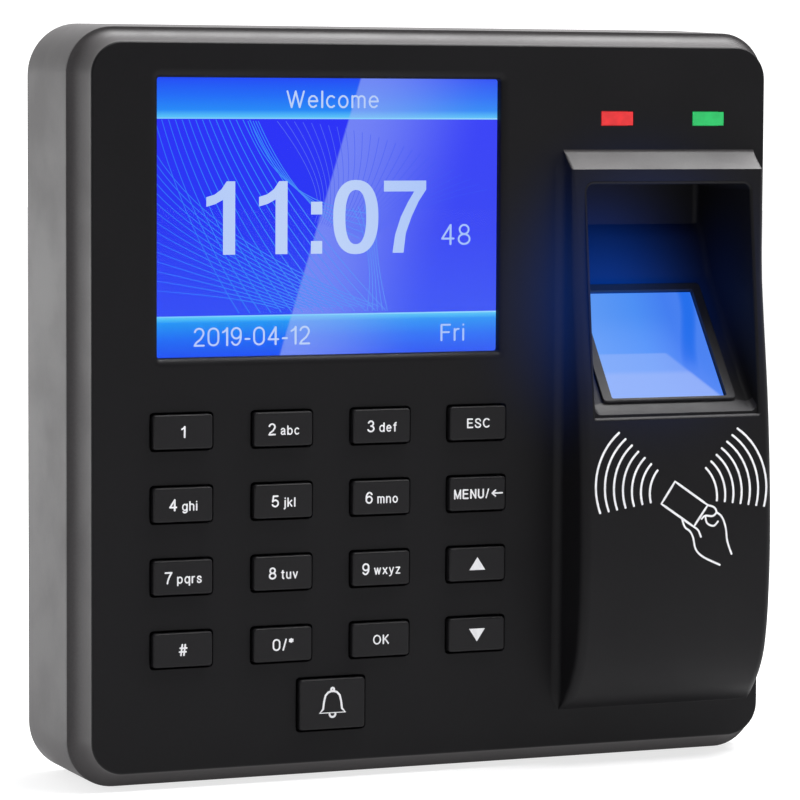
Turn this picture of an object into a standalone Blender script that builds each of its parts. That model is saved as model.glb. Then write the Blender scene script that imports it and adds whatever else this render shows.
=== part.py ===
"""Wall-mounted fingerprint, card and keypad terminal, modelled as the assembly that it is.

Frame: the origin is the centre of the wall plate's rear face, which lies on the wall (y = 0).
+Z is up, the front faces -Y, and +X is to the right for someone looking at the front.
Lengths below are in millimetres; MM turns them into Blender's metres as each mesh is made.
"""

import math

import bmesh
import bpy
from mathutils import Matrix, Vector

MM = 0.001

# Driving dimensions -------------------------------------------------------------------------
SCREEN_W, SCREEN_H = 57.6, 43.2          # picture area of a 2.8 inch display
SCREEN_X, SCREEN_Z = -18.1, 29.5         # its centre
HALF_W, TOP, BOTTOM = 60.8, 59.6, -59.3  # outline of the case at the wall
DRAFT = 0.65                             # the side walls and the top lean in by this much
CORNER_R = 8.2
WALL = 2.0
SEAM_Y = -17.5                           # where the front cover meets the rear case
LEDGE_Y = -17.95                         # front edge of the side walls, where the hollow step starts
FACE_Y = -23.3                           # the flat front of the cover
COVE_INSET = 2.35                        # hollow step between the case's edge and the face
COVE_INSET_BELOW = 2.7                   # the same along the bottom edge, which has no draft
BACK_Y = -2.0                            # outside of the rear wall, inside the case's rim
BACK_INNER_Y = BACK_Y - WALL
GAP = 0.2                                # between pieces that lie against each other

KEY_W, KEY_H, KEY_PROUD, KEY_TRAVEL = 9.75, 5.35, 0.8, 0.8
KEY_X0, KEY_PITCH_X = -43.2, 16.61
KEY_Z0, KEY_PITCH_Z = -3.5, 11.32
BELL_W, BELL_H, BELL_X, BELL_Z = 11.1, 8.0, -18.2, -47.3
KEY_CLEARANCE = 0.35
KEY_NAMES = (
    ("key_1", "key_2", "key_3", "key_esc"),
    ("key_4", "key_5", "key_6", "key_menu"),
    ("key_7", "key_8", "key_9", "key_up"),
    ("key_hash", "key_0", "key_ok", "key_down"),
)

LAMP_W, LAMP_H, LAMP_Z = 5.8, 2.4, 45.0
RED_X, GREEN_X = 31.1, 47.5

POD_X0, POD_X1 = 21.5, 55.8              # the raised reader housing on the right
POD_CENTRE = (POD_X0 + POD_X1) / 2
POD_WALL, POD_SIDE_WALL = 1.6, 1.1
OPENING_X0, OPENING_X1 = 23.6, 53.9      # finger opening in the pod
CEILING_Z = 35.0

SENSOR_W, SENSOR_L = 20.2, 20.6
SLOPE = math.radians(52.4)               # of the bed that the finger lies on
BED_Y, BED_Z = -27.6, 0.0                # lower edge of the sensor glass

MAIN_BOARD_Y = -11.4                     # rear face of the main board
BOARD_T = 1.6
KEY_BOARD_Y = -16.0                      # rear face of the keypad board

# Shared pieces of geometry ------------------------------------------------------------------


def clear_scene():
    for obj in list(bpy.data.objects):
        bpy.data.objects.remove(obj)


def new_collection(name):
    collection = bpy.data.collections.new(name)
    bpy.context.scene.collection.children.link(collection)
    return collection


def material(name, colour, roughness=0.5, metallic=0.0, alpha=1.0):
    made = bpy.data.materials.new(name)
    made.use_nodes = True
    shader = made.node_tree.nodes["Principled BSDF"]
    shader.inputs["Base Color"].default_value = (*colour, 1)
    shader.inputs["Roughness"].default_value = roughness
    shader.inputs["Metallic"].default_value = metallic
    shader.inputs["Alpha"].default_value = alpha
    made.diffuse_color = (*colour, alpha)
    return made


def object_from(bm, name, collection, finish=None, origin=(0, 0, 0)):
    """Turns a mesh drawn in millimetres into an object in metres, with its own origin."""
    bmesh.ops.recalc_face_normals(bm, faces=bm.faces)
    bmesh.ops.translate(bm, verts=bm.verts, vec=-Vector(origin))
    bmesh.ops.scale(bm, verts=bm.verts, vec=(MM, MM, MM))
    mesh = bpy.data.meshes.new(name)
    bm.to_mesh(mesh)
    bm.free()
    obj = bpy.data.objects.new(name, mesh)
    obj.location = Vector(origin) * MM
    if finish is not None:
        mesh.materials.append(finish)
    collection.objects.link(obj)
    return obj


def add_box(bm, x0, x1, y0, y1, z0, z1, turn=None):
    """A box between two corners, turned about the world origin if a matrix is given."""
    centre = Matrix.Translation(((x0 + x1) / 2, (y0 + y1) / 2, (z0 + z1) / 2))
    size = Matrix.Diagonal((x1 - x0, y1 - y0, z1 - z0, 1))
    matrix = centre @ size
    bmesh.ops.create_cube(bm, size=1, matrix=matrix if turn is None else turn @ matrix)


def add_cylinder(bm, x, y0, y1, z, radius, segments=20):
    """A cylinder along Y."""
    turn = Matrix.Rotation(math.radians(90), 4, "X")
    place = Matrix.Translation((x, (y0 + y1) / 2, z))
    bmesh.ops.create_cone(bm, cap_ends=True, segments=segments, radius1=radius, radius2=radius,
                          depth=abs(y1 - y0), matrix=place @ turn)


def add_stack(bm, sections):
    """A solid through (y, outline) sections, where the outlines are (x, z) points of equal number."""
    faces = [bm.faces.new([bm.verts.new((x, y, z)) for x, z in outline]) for y, outline in sections]
    for lower, upper in zip(faces, faces[1:]):
        bmesh.ops.bridge_loops(bm, edges=[*lower.edges, *upper.edges])
    bmesh.ops.delete(bm, geom=faces[1:-1], context="FACES_ONLY")


def add_prism(bm, outline, x0, x1):
    """An outline of (y, z) points drawn out along X."""
    face = bm.faces.new([bm.verts.new((x0, y, z)) for y, z in outline])
    made = bmesh.ops.extrude_face_region(bm, geom=[face])["geom"]
    bmesh.ops.translate(bm, verts=[v for v in made if isinstance(v, bmesh.types.BMVert)],
                        vec=(x1 - x0, 0, 0))


def rounded(x0, x1, z0, z1, radius, steps=6):
    """Rectangle with round corners, as (x, z) points."""
    points = []
    corners = ((x1, z1, 0), (x0, z1, 90), (x0, z0, 180), (x1, z0, 270))
    for x, z, start in corners:
        cx = x - math.copysign(radius, x - (x0 + x1) / 2)
        cz = z - math.copysign(radius, z - (z0 + z1) / 2)
        for step in range(steps + 1):
            angle = math.radians(start + 90 * step / steps)
            points.append((cx + radius * math.cos(angle), cz + radius * math.sin(angle)))
    return points


def case_outline(inset, bottom_inset=None):
    """The case's outline, drawn in from its size at the wall."""
    below = inset if bottom_inset is None else bottom_inset
    return rounded(-HALF_W + inset, HALF_W - inset, BOTTOM + below, TOP - inset, CORNER_R - inset)


def centred(x, z, width, height, radius, steps=3):
    return rounded(x - width / 2, x + width / 2, z - height / 2, z + height / 2, radius, steps)


class Shape:
    """A node under construction: a mesh to which helpers are joined and from which they are cut."""

    def __init__(self, name, finish, origin=(0, 0, 0)):
        self.name = name
        self.finish = finish
        self.origin = origin
        self.bm = bmesh.new()
        self.steps = []

    def box(self, *limits, turn=None):
        add_box(self.bm, *limits, turn=turn)
        return self

    def cylinder(self, *sizes, segments=20):
        add_cylinder(self.bm, *sizes, segments=segments)
        return self

    def pin(self, x, y, z0, z1, radius):
        """A cylinder along Z."""
        bmesh.ops.create_cone(self.bm, cap_ends=True, segments=20, radius1=radius, radius2=radius,
                              depth=z1 - z0, matrix=Matrix.Translation((x, y, (z0 + z1) / 2)))
        return self

    def stack(self, *sections):
        add_stack(self.bm, sections)
        return self

    def plate(self, outline, y0, y1):
        add_stack(self.bm, ((y0, outline), (y1, outline)))
        return self

    def prism(self, outline, x0, x1):
        add_prism(self.bm, outline, x0, x1)
        return self

    def join(self):
        """Starts a helper that is added to the node."""
        return self._step("UNION")

    def cut(self):
        """Starts a helper that is taken from the node."""
        return self._step("DIFFERENCE")

    def _step(self, operation):
        helper = Shape(f"{self.name}_helper_{len(self.steps)}", None)
        self.steps.append((operation, helper))
        return helper

    def finish_node(self):
        node = object_from(self.bm, self.name, PARTS, self.finish, self.origin)
        for operation, helper in self.steps:
            tool = object_from(helper.bm, helper.name, CUTTERS)
            tool.hide_render = True
            tool.display_type = "WIRE"
            modifier = node.modifiers.new(operation.lower(), "BOOLEAN")
            modifier.operation = operation
            modifier.solver = "EXACT"
            modifier.object = tool


# Where things are ---------------------------------------------------------------------------


def key_places():
    """(name, x, z, width, height) of every key."""
    places = []
    for row, names in enumerate(KEY_NAMES):
        for column, name in enumerate(names):
            x = KEY_X0 + column * KEY_PITCH_X
            places.append((name, x, KEY_Z0 - row * KEY_PITCH_Z, KEY_W, KEY_H))
    places.append(("key_bell", BELL_X, BELL_Z, BELL_W, BELL_H))
    return places


def smooth_through(points, steps):
    """A Catmull-Rom curve through 2D points."""
    padded = [points[0], *points, points[-1]]
    made = []
    for a, b, c, d in zip(padded, padded[1:], padded[2:], padded[3:]):
        for step in range(steps):
            t = step / steps
            made.append(tuple(
                0.5 * (2 * q + (r - p) * t + (2 * p - 5 * q + 4 * r - s) * t * t
                       + (3 * q - p - 3 * r + s) * t ** 3)
                for p, q, r, s in zip(a, b, c, d)))
    made.append(points[-1])
    return made


def pod_front(inset=0.0, steps=2):
    """The pod's side profile in (y, z), from the hood's front edge down to the foot."""
    swell = (
        (3.5, 36.9), (4.9, 19.0), (7.5, -1.0), (8.7, -17.0),
        (8.7, -30.0), (7.4, -41.0), (4.2, -47.3), (0.0, -50.7),
    )
    points = [(FACE_Y - out + inset, max(z, -50.7 + inset) if z < 0 else z - inset) for out, z in swell]
    return smooth_through(points, steps)


def pod_front_y(z, inset=0.0):
    """How far forward the pod reaches at a height."""
    profile = pod_front(inset)
    for (y0, z0), (y1, z1) in zip(profile, profile[1:]):
        if z1 <= z <= z0:
            return y0 + (y1 - y0) * (z0 - z) / (z0 - z1)
    return profile[0][0]


def bed(u, n):
    """(y, z) of a point on the sloping bed: u up the slope, n into the case."""
    y = BED_Y + u * math.cos(SLOPE) + n * math.sin(SLOPE)
    return y, BED_Z + u * math.sin(SLOPE) - n * math.cos(SLOPE)


BED_FRAME = Matrix.Translation((0, BED_Y, BED_Z)) @ Matrix.Rotation(SLOPE, 4, "X")


def bed_box(shape, x0, x1, u0, u1, n0, n1):
    """A box square to the bed. In the bed's own axes Y runs up the slope and Z out of it."""
    return shape.box(x0, x1, u0, u1, -n1, -n0, turn=BED_FRAME)


def finger_space():
    """(y, z) outline of the space that the finger goes into."""
    bed_top = bed(32.1, 0)
    bed_foot = bed(-1.0, 0)
    return [
        (-36.0, CEILING_Z), (-7.3, CEILING_Z), (-7.3, 27.0), bed_top, bed_foot,
        (-36.0, bed_foot[1] - 6.0),
    ]


CASE_POSTS = [(x, z) for x in (-52.8, 52.8) for z in (-51.3, 51.3)]
BOARD_POSTS = [(x, z) for x in (-44.0, 14.0) for z in (-40.0, 40.0)]
HOOKS = [(x, z) for x in (-32.0, 32.0) for z in (-18.0, 36.0)]
KEY_BOARD_POSTS = [(x, z) for x in (-34.9, -1.66) for z in (-9.1, -31.8)]
CARD_POSTS = [(x, z) for x in (31.0, 46.3) for z in (-16.0, -32.0)]
WALL_SCREWS = [(x, z) for x in (-18.0, 18.0) for z in (-38.0, 38.0)]
SLOT_W, SLOT_H = 4.2, 9.0
PLATE_T = 1.5
CABLE_WINDOW = (-26.0, 8.0, -31.0, -14.0)
TAMPER_X, TAMPER_Z, TAMPER_TRAVEL = 8.0, 14.0, 0.8
KEY_BOARD = (-49.4, 13.6, -53.6, 3.2)
MAIN_BOARD = (-48.5, 19.0, -45.0, 45.0)
LOCK_Y = -4.2                            # axis of the screw that locks the case to the plate
LOCK_TAB_Z = -52.0

# Scene and finishes -------------------------------------------------------------------------

clear_scene()
PARTS = new_collection("fingerprint_terminal")
CUTTERS = new_collection("cutters")

CASE_BLACK = material("case_black", (0.020, 0.019, 0.021), 0.55)
KEY_BLACK = material("key_black", (0.022, 0.021, 0.024), 0.6)
CLEAR = material("clear_acrylic", (0.9, 0.93, 1.0), 0.05, alpha=0.3)
DISPLAY = material("display_blue", (0.08, 0.14, 0.95), 0.2)
DARK_TAPE = material("tape_black", (0.01, 0.01, 0.01), 0.9)
STEEL = material("zinc_steel", (0.62, 0.62, 0.6), 0.35, 1.0)
BOARD_GREEN = material("board_green", (0.01, 0.16, 0.06), 0.45)
CHIP_BLACK = material("chip_black", (0.015, 0.015, 0.017), 0.5)
WHITE_PLASTIC = material("white_plastic", (0.8, 0.8, 0.76), 0.5)
RED_LENS = material("red_lens", (0.85, 0.05, 0.05), 0.3)
GREEN_LENS = material("green_lens", (0.04, 0.6, 0.15), 0.3)
SENSOR_BLUE = material("sensor_glass", (0.12, 0.35, 0.95), 0.05)
COPPER = material("copper_wire", (0.72, 0.33, 0.18), 0.3, 1.0)
SILICONE = material("silicone_grey", (0.25, 0.25, 0.26), 0.8)
RIBBON = material("ribbon_amber", (0.6, 0.3, 0.08), 0.4)
RELAY_BLUE = material("relay_blue", (0.03, 0.12, 0.5), 0.4)
TERMINAL_GREEN = material("terminal_green", (0.04, 0.35, 0.14), 0.5)

# Casings ------------------------------------------------------------------------------------


def front_cover():
    """Face, hollow step round it, pod for the reader, and the posts that the rear screws bite."""
    cover = Shape("front_cover", CASE_BLACK)
    sections = [(SEAM_Y, case_outline(DRAFT, 0))]
    cove_steps = 5
    for step in range(cove_steps + 1):
        angle = math.radians(90 * step / cove_steps)
        inset, inset_below = COVE_INSET * math.sin(angle), COVE_INSET_BELOW * math.sin(angle)
        y = FACE_Y + (LEDGE_Y - FACE_Y) * math.cos(angle)
        sections.append((y, case_outline(DRAFT + inset, inset_below)))
    cover.stack(*sections)
    lip_inset = DRAFT + WALL + 0.3
    cover.join().plate(case_outline(lip_inset, lip_inset - DRAFT), SEAM_Y - 1.0, SEAM_Y + 2.0)
    pod = [(FACE_Y + 1.0, 40.0), (FACE_Y, 40.0), *pod_front(), (FACE_Y + 1.0, -50.7)]
    cover.join().prism(pod, POD_X0, POD_X1)
    hollow_inset = DRAFT + COVE_INSET + WALL
    hollow = case_outline(hollow_inset, hollow_inset - DRAFT)
    cover.cut().plate(hollow, FACE_Y + WALL, SEAM_Y + 5.0)
    inner = pod_front(POD_WALL)
    pod_hollow = [(FACE_Y + WALL + 1.0, 38.3), (FACE_Y + POD_WALL, 38.3), *inner,
                  (FACE_Y + WALL + 1.0, inner[-1][1])]
    cover.cut().prism(pod_hollow, POD_X0 + POD_SIDE_WALL, POD_X1 - POD_SIDE_WALL)
    cover.cut().prism(finger_space(), OPENING_X0, OPENING_X1)
    posts = cover.join()
    for x, z in CASE_POSTS:
        posts.cylinder(x, FACE_Y + 1.0, BACK_INNER_Y - 0.3, z, 3.0)
    for x, z in KEY_BOARD_POSTS:
        posts.cylinder(x, FACE_Y + 1.0, KEY_BOARD_Y - 1.2 - GAP, z, 1.5, segments=12)
    for x, z in CARD_POSTS:
        posts.cylinder(x, pod_front_y(z) + 0.8, -28.0, z, 1.3, segments=12)
    pilots = cover.cut()
    for x, z in CASE_POSTS:
        pilots.cylinder(x, -15.0, BACK_INNER_Y + 1.0, z, 1.5, segments=12)
    window = cover.cut()
    wide = centred(SCREEN_X, SCREEN_Z, SCREEN_W + 5.0, SCREEN_H + 4.6, 2.8)
    narrow = centred(SCREEN_X, SCREEN_Z, SCREEN_W + 0.8, SCREEN_H + 0.8, 0.8)
    window.stack((FACE_Y - 1.0, wide), (FACE_Y + 1.0, narrow), (FACE_Y + 3.0, narrow))
    pocket = centred(SCREEN_X, SCREEN_Z, SCREEN_W + 4.8, SCREEN_H + 4.6, 0.8)
    cover.cut().plate(pocket, FACE_Y + 1.0, FACE_Y + 3.0)
    holes = cover.cut()
    for _, x, z, width, height in key_places():
        outline = centred(x, z, width + 2 * KEY_CLEARANCE, height + 2 * KEY_CLEARANCE, 0.7, 2)
        holes.plate(outline, FACE_Y - 1.0, FACE_Y + 3.0)
    for x in (RED_X, GREEN_X):
        holes.box(x - LAMP_W / 2, x + LAMP_W / 2, FACE_Y - 1.0, FACE_Y + 3.0,
                  LAMP_Z - LAMP_H / 2, LAMP_Z + LAMP_H / 2)
    cover.finish_node()


def rear_case():
    """Tub behind the front cover: side walls, rear wall, board posts and the lock-screw pocket."""
    tub = Shape("rear_case", CASE_BLACK)
    tub.stack((0.0, case_outline(0)), (SEAM_Y + GAP, case_outline(DRAFT, 0)))
    tub.cut().plate(case_outline(DRAFT + WALL, WALL), BACK_INNER_Y, SEAM_Y - 2.0)
    tub.cut().plate(case_outline(WALL + 0.4), BACK_Y, 2.0)
    joined = tub.join()
    for x, z in BOARD_POSTS:
        joined.cylinder(x, BACK_INNER_Y + 0.6, MAIN_BOARD_Y + GAP, z, 3.0)
    joined.box(-10.5, 10.5, -10.0, BACK_INNER_Y + 0.6, BOTTOM + 1.0, -47.5)
    holes = tub.cut()
    holes.box(-9.0, 9.0, -8.5, 2.0, BOTTOM + WALL, -49.0)
    for x, z in BOARD_POSTS:
        holes.cylinder(x, MAIN_BOARD_Y - 1.0, -5.0, z, 1.2, segments=12)
    for x, z in CASE_POSTS:
        holes.cylinder(x, BACK_INNER_Y - 1.0, 1.0, z, 1.7, segments=12)
    for x, z in HOOKS:
        holes.box(x - 4.5, x + 4.5, -6.0, 1.0, z - 6.0, z + 0.3)
    x0, x1, z0, z1 = CABLE_WINDOW
    holes.box(x0, x1, -6.0, 1.0, z0, z1)
    holes.cylinder(TAMPER_X, -6.0, 1.0, TAMPER_Z, 1.9, segments=16)
    for step in range(5):
        x = -44.0 + 3.0 * step
        holes.box(x - 0.6, x + 0.6, -6.0, 1.0, -38.0, -28.0)
    tub.cut().pin(0, LOCK_Y, BOTTOM - 1.0, BOTTOM + 4.0, 1.7)
    tub.cut().pin(0, LOCK_Y, BOTTOM - 1.0, BOTTOM + 1.2, 3.3)
    tub.finish_node()


def wall_plate():
    """Zinc-plated steel plate that screws to the wall; the case hangs on its four hooks."""
    plate = Shape("wall_plate", STEEL)
    plate.plate(rounded(-42.0, 42.0, -46.0, 46.0, 4.0, 3), -PLATE_T, 0.0)
    plate.join().box(-7.0, 7.0, -PLATE_T, 0.0, LOCK_TAB_Z - PLATE_T, -44.0)
    plate.join().box(-7.0, 7.0, -7.5, -0.5, LOCK_TAB_Z - PLATE_T, LOCK_TAB_Z)
    legs = plate.join()
    lips = plate.join()
    for x, z in HOOKS:
        legs.box(x - 3.5, x + 3.5, -5.5, -1.0, z - 1.4, z)
        lips.box(x - 3.5, x + 3.5, -5.5, -4.2, z - 0.7, z + 3.4)
    holes = plate.cut()
    for x, z in HOOKS:
        holes.box(x - 3.5, x + 3.5, -2.5, 1.0, z + 0.6, z + 5.6)
    for x, z in WALL_SCREWS:
        holes.plate(centred(x, z, SLOT_W, SLOT_H, SLOT_W / 2 - 0.01, 4), -2.5, 1.0)
    x0, x1, z0, z1 = CABLE_WINDOW
    holes.plate(rounded(x0 + 1, x1 - 1, z0 + 1, z1 - 1, 2.0, 3), -2.5, 1.0)
    plate.cut().pin(0, LOCK_Y, LOCK_TAB_Z - 3.0, LOCK_TAB_Z + 2.0, 1.4)
    plate.finish_node()


def screw(name, x, z, head_y, head_t, head_r, shank_r, tip_y):
    """A screw along Y with its head towards +Y if tip_y is less than head_y."""
    made = Shape(name, STEEL, origin=(x, head_y, z))
    made.cylinder(x, head_y, head_y + head_t, z, head_r, segments=20)
    middle = head_y + head_t / 2
    made.join().cylinder(x, tip_y, middle, z, shank_r, segments=12)
    outer = max(head_y, head_y + head_t) if tip_y < head_y else min(head_y, head_y + head_t)
    for wide, tall in ((head_r * 1.1, 0.5), (0.5, head_r * 1.1)):
        made.cut().box(x - wide / 2, x + wide / 2, outer - 0.6, outer + 0.6, z - tall / 2, z + tall / 2)
    made.finish_node()


def screws():
    for number, (x, z) in enumerate(CASE_POSTS, 1):
        screw(f"case_screw_{number}", x, z, BACK_Y + 0.1, 1.5, 2.7, 1.3, -14.0)
    for number, (x, z) in enumerate(BOARD_POSTS, 1):
        front = MAIN_BOARD_Y - BOARD_T
        screw(f"board_screw_{number}", x, z, front - 0.1, -1.3, 2.4, 1.0, -6.0)


def plate_lock_screw():
    """Comes up through the case's underside into the plate's tab."""
    made = Shape("plate_lock_screw", STEEL, origin=(0, LOCK_Y, BOTTOM))
    made.pin(0, LOCK_Y, BOTTOM + 0.05, BOTTOM + 1.1, 3.0)
    made.join().pin(0, LOCK_Y, BOTTOM + 0.6, LOCK_TAB_Z + 1.5, 1.15)
    for wide, deep in ((3.2, 0.5), (0.5, 3.2)):
        made.cut().box(-wide / 2, wide / 2, LOCK_Y - deep / 2, LOCK_Y + deep / 2, BOTTOM - 1, BOTTOM + 0.5)
    made.finish_node()


# Display ------------------------------------------------------------------------------------


def display():
    """Window, its tape, the liquid-crystal cell, the light guide behind it, and their tray."""
    def sheet(name, finish, width, height, y0, y1):
        made = Shape(name, finish, origin=(SCREEN_X, y0, SCREEN_Z))
        made.plate(centred(SCREEN_X, SCREEN_Z, width, height, 0.6, 2), y0, y1)
        return made

    tape = sheet("window_tape", DARK_TAPE, SCREEN_W + 4.4, SCREEN_H + 4.2, FACE_Y + 1.05, FACE_Y + 1.2)
    inside = centred(SCREEN_X, SCREEN_Z, SCREEN_W + 1.0, SCREEN_H + 1.0, 0.6, 2)
    tape.cut().plate(inside, FACE_Y, FACE_Y + 2)
    tape.finish_node()
    sheet("display_window", CLEAR, SCREEN_W + 4.4, SCREEN_H + 4.2, FACE_Y + 1.25, FACE_Y + 1.95).finish_node()
    cell_front = FACE_Y + 2.5
    sheet("lcd_glass", DISPLAY, SCREEN_W + 2.8, SCREEN_H + 3.0, cell_front, cell_front + 1.0).finish_node()
    guide_front = cell_front + 1.2
    sheet("lcd_light_guide", WHITE_PLASTIC, SCREEN_W + 2.8, SCREEN_H + 3.0,
          guide_front, guide_front + 1.8).finish_node()
    tray = sheet("lcd_tray", STEEL, SCREEN_W + 4.8, SCREEN_H + 5.0, FACE_Y + WALL + 0.2, FACE_Y + 6.0)
    pocket = centred(SCREEN_X, SCREEN_Z, SCREEN_W + 3.4, SCREEN_H + 3.6, 0.6, 2)
    tray.cut().plate(pocket, FACE_Y, FACE_Y + 5.6)
    tray.finish_node()


def lcd_ribbon():
    """Flat cable from the tray's back down to the main board."""
    tray_back = FACE_Y + 6.0 + GAP
    board_front = MAIN_BOARD_Y - BOARD_T - GAP
    route = smooth_through([(tray_back, 24.0), (tray_back, 16.0), (tray_back + 1.2, 11.5),
                            (board_front - 1.2, 8.5), (board_front - 0.2, 5.0), (board_front - 0.2, 0.0)], 3)
    thickness = 0.2
    outline = route + [(y + thickness, z + (0.1 if 0 < i < len(route) - 1 else 0))
                       for i, (y, z) in reversed(list(enumerate(route)))]
    made = Shape("lcd_ribbon", RIBBON, origin=(SCREEN_X, tray_back, 12.0))
    made.prism(outline, SCREEN_X - 9.0, SCREEN_X + 9.0)
    made.finish_node()


# Keypad -------------------------------------------------------------------------------------


def keys():
    """Each key is a cap through the cover, a flange that keeps it in, and a stem to its contact."""
    for name, x, z, width, height in key_places():
        flange_y = FACE_Y + WALL + 0.3
        key = Shape(name, KEY_BLACK, origin=(x, FACE_Y - KEY_PROUD, z))
        key.stack((FACE_Y - KEY_PROUD, centred(x, z, width - 0.3, height - 0.3, 0.4, 2)),
                  (FACE_Y - KEY_PROUD + 0.15, centred(x, z, width, height, 0.5, 2)),
                  (flange_y + 0.4, centred(x, z, width, height, 0.5, 2)))
        key.join().box(x - width / 2 - 0.95, x + width / 2 + 0.95, flange_y, flange_y + 0.8,
                       z - height / 2 - 0.95, z + height / 2 + 0.95)
        stem_end = KEY_BOARD_Y - 1.2 - KEY_TRAVEL - 0.3
        key.join().box(x - 2.0, x + 2.0, flange_y + 0.4, stem_end, z - 1.5, z + 1.5)
        key.finish_node()


def keypad_layers():
    """Silicone mat that the stems pass through, and the board with a contact under each stem."""
    front = KEY_BOARD_Y - 1.2
    x0, x1, z0, z1 = KEY_BOARD
    mat = Shape("keypad_mat", SILICONE, origin=((x0 + x1) / 2, front, (z0 + z1) / 2))
    mat.plate(rounded(x0, x1, z0, z1, 1.5, 3), front - 1.8, front - GAP)
    mat_holes = mat.cut()
    board = Shape("keypad_board", BOARD_GREEN, origin=((x0 + x1) / 2, front, (z0 + z1) / 2))
    board.plate(rounded(x0, x1, z0, z1, 1.5, 3), front, KEY_BOARD_Y)
    contacts = board.join()
    for _, x, z, _, _ in key_places():
        mat_holes.box(x - 2.6, x + 2.6, front - 3.0, front + 1.0, z - 2.1, z + 2.1)
        contacts.box(x - 2.2, x + 2.2, front - 0.08, front + 0.4, z - 1.7, z + 1.7)
    for x, z in KEY_BOARD_POSTS:
        mat_holes.cylinder(x, front - 3.0, front + 1.0, z, 1.9, segments=12)
    mat.finish_node()
    board.finish_node()
    link = Shape("keypad_link", CHIP_BLACK, origin=(-18.0, KEY_BOARD_Y + GAP, -50.0))
    link.box(-30.0, -6.0, KEY_BOARD_Y + GAP, MAIN_BOARD_Y - BOARD_T - GAP, -44.0, -40.0)
    link.finish_node()


# Status lamps -------------------------------------------------------------------------------


def lamps():
    for name, x, finish in (("red_lamp_window", RED_X, RED_LENS), ("green_lamp_window", GREEN_X, GREEN_LENS)):
        pipe = Shape(name, finish, origin=(x, FACE_Y, LAMP_Z))
        half_w, half_h = LAMP_W / 2 - 0.1, LAMP_H / 2 - 0.1
        pipe.box(x - half_w, x + half_w, FACE_Y, FACE_Y + 2.6, LAMP_Z - half_h, LAMP_Z + half_h)
        pipe.join().box(x - half_w - 0.8, x + half_w + 0.8, FACE_Y + WALL + GAP, FACE_Y + 3.2,
                        LAMP_Z - half_h - 0.8, LAMP_Z + half_h + 0.8)
        pipe.finish_node()
    board = Shape("lamp_board", BOARD_GREEN, origin=(39.3, -17.8, LAMP_Z))
    board.box(27.5, 51.5, -17.8, -16.6, LAMP_Z - 3.0, LAMP_Z + 3.0)
    chips = board.join()
    for x in (RED_X, GREEN_X):
        chips.box(x - 1.75, x + 1.75, -19.7, -17.5, LAMP_Z - 1.4, LAMP_Z + 1.4)
    board.finish_node()


# Fingerprint reader -------------------------------------------------------------------------


def finger_bay():
    """Open-fronted liner that the finger goes into, with a window in its sloping bed."""
    bay = Shape("finger_bay", CASE_BLACK, origin=(POD_CENTRE, BED_Y, BED_Z))
    clear = POD_WALL + 0.25
    front_edge = [(pod_front_y(z, 0.0) + clear, z) for z in (-1.9, 8.0, 17.0, 26.0, 34.6)]
    outer = [(-23.2, 36.1), (-6.1, 36.1), (-6.1, 25.6), bed(-0.6, 1.5), (-28.4, -2.75), *front_edge]
    side_gap = POD_SIDE_WALL + 0.15
    bay.prism(outer, POD_X0 + side_gap, POD_X1 - side_gap)
    bay.cut().prism(finger_space(), OPENING_X0 + 0.15, OPENING_X1 - 0.15)
    bed_box(bay.cut(), POD_CENTRE - SENSOR_W / 2 - 0.3, POD_CENTRE + SENSOR_W / 2 + 0.3,
            -0.3, SENSOR_L + 0.3, -3.0, 4.0)
    bay.finish_node()


def sensor():
    """Glass prism with its bezel, housing, lens, light bar and board, square to the bed."""
    left, right = POD_CENTRE - SENSOR_W / 2, POD_CENTRE + SENSOR_W / 2
    base = (POD_CENTRE, BED_Y, BED_Z)
    bezel = Shape("sensor_bezel", CASE_BLACK, origin=base)
    bed_box(bezel, left - 1.6, right + 1.6, -0.75, SENSOR_L + 1.6, -0.55, -0.05)
    bed_box(bezel.cut(), left - 0.1, right + 0.1, -0.1, SENSOR_L + 0.1, -2.0, 2.0)
    bezel.finish_node()
    glass = Shape("sensor_glass", SENSOR_BLUE, origin=base)
    wedge = [bed(0, 0), bed(SENSOR_L, 0), bed(SENSOR_L, 2.5), bed(8.0, 7.0), bed(0, 7.0)]
    glass.prism(wedge, left, right)
    glass.finish_node()
    housing = Shape("sensor_housing", CHIP_BLACK, origin=base)
    bed_box(housing, left - 1.4, right + 1.4, -1.6, SENSOR_L + 1.6, 1.75, 10.0)
    bed_box(housing.cut(), left - 0.3, right + 0.3, -0.3, SENSOR_L + 0.3, 0.0, 12.0)
    housing.finish_node()
    barrel = Shape("sensor_lens", CHIP_BLACK, origin=base)
    place = BED_FRAME @ Matrix.Translation((POD_CENTRE, 9.0, -8.7))
    bmesh.ops.create_cone(barrel.bm, cap_ends=True, segments=20, radius1=3.4, radius2=2.6,
                          depth=2.8, matrix=place)
    barrel.finish_node()
    lights = Shape("sensor_light_bar", WHITE_PLASTIC, origin=base)
    bed_box(lights, POD_CENTRE - 8.0, POD_CENTRE + 8.0, 14.0, 18.0, 7.6, 10.0)
    lights.finish_node()
    board = Shape("sensor_board", BOARD_GREEN, origin=base)
    bed_box(board, left - 1.4, right + 1.4, -1.6, SENSOR_L, 10.2, 11.4)
    board.finish_node()


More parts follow.
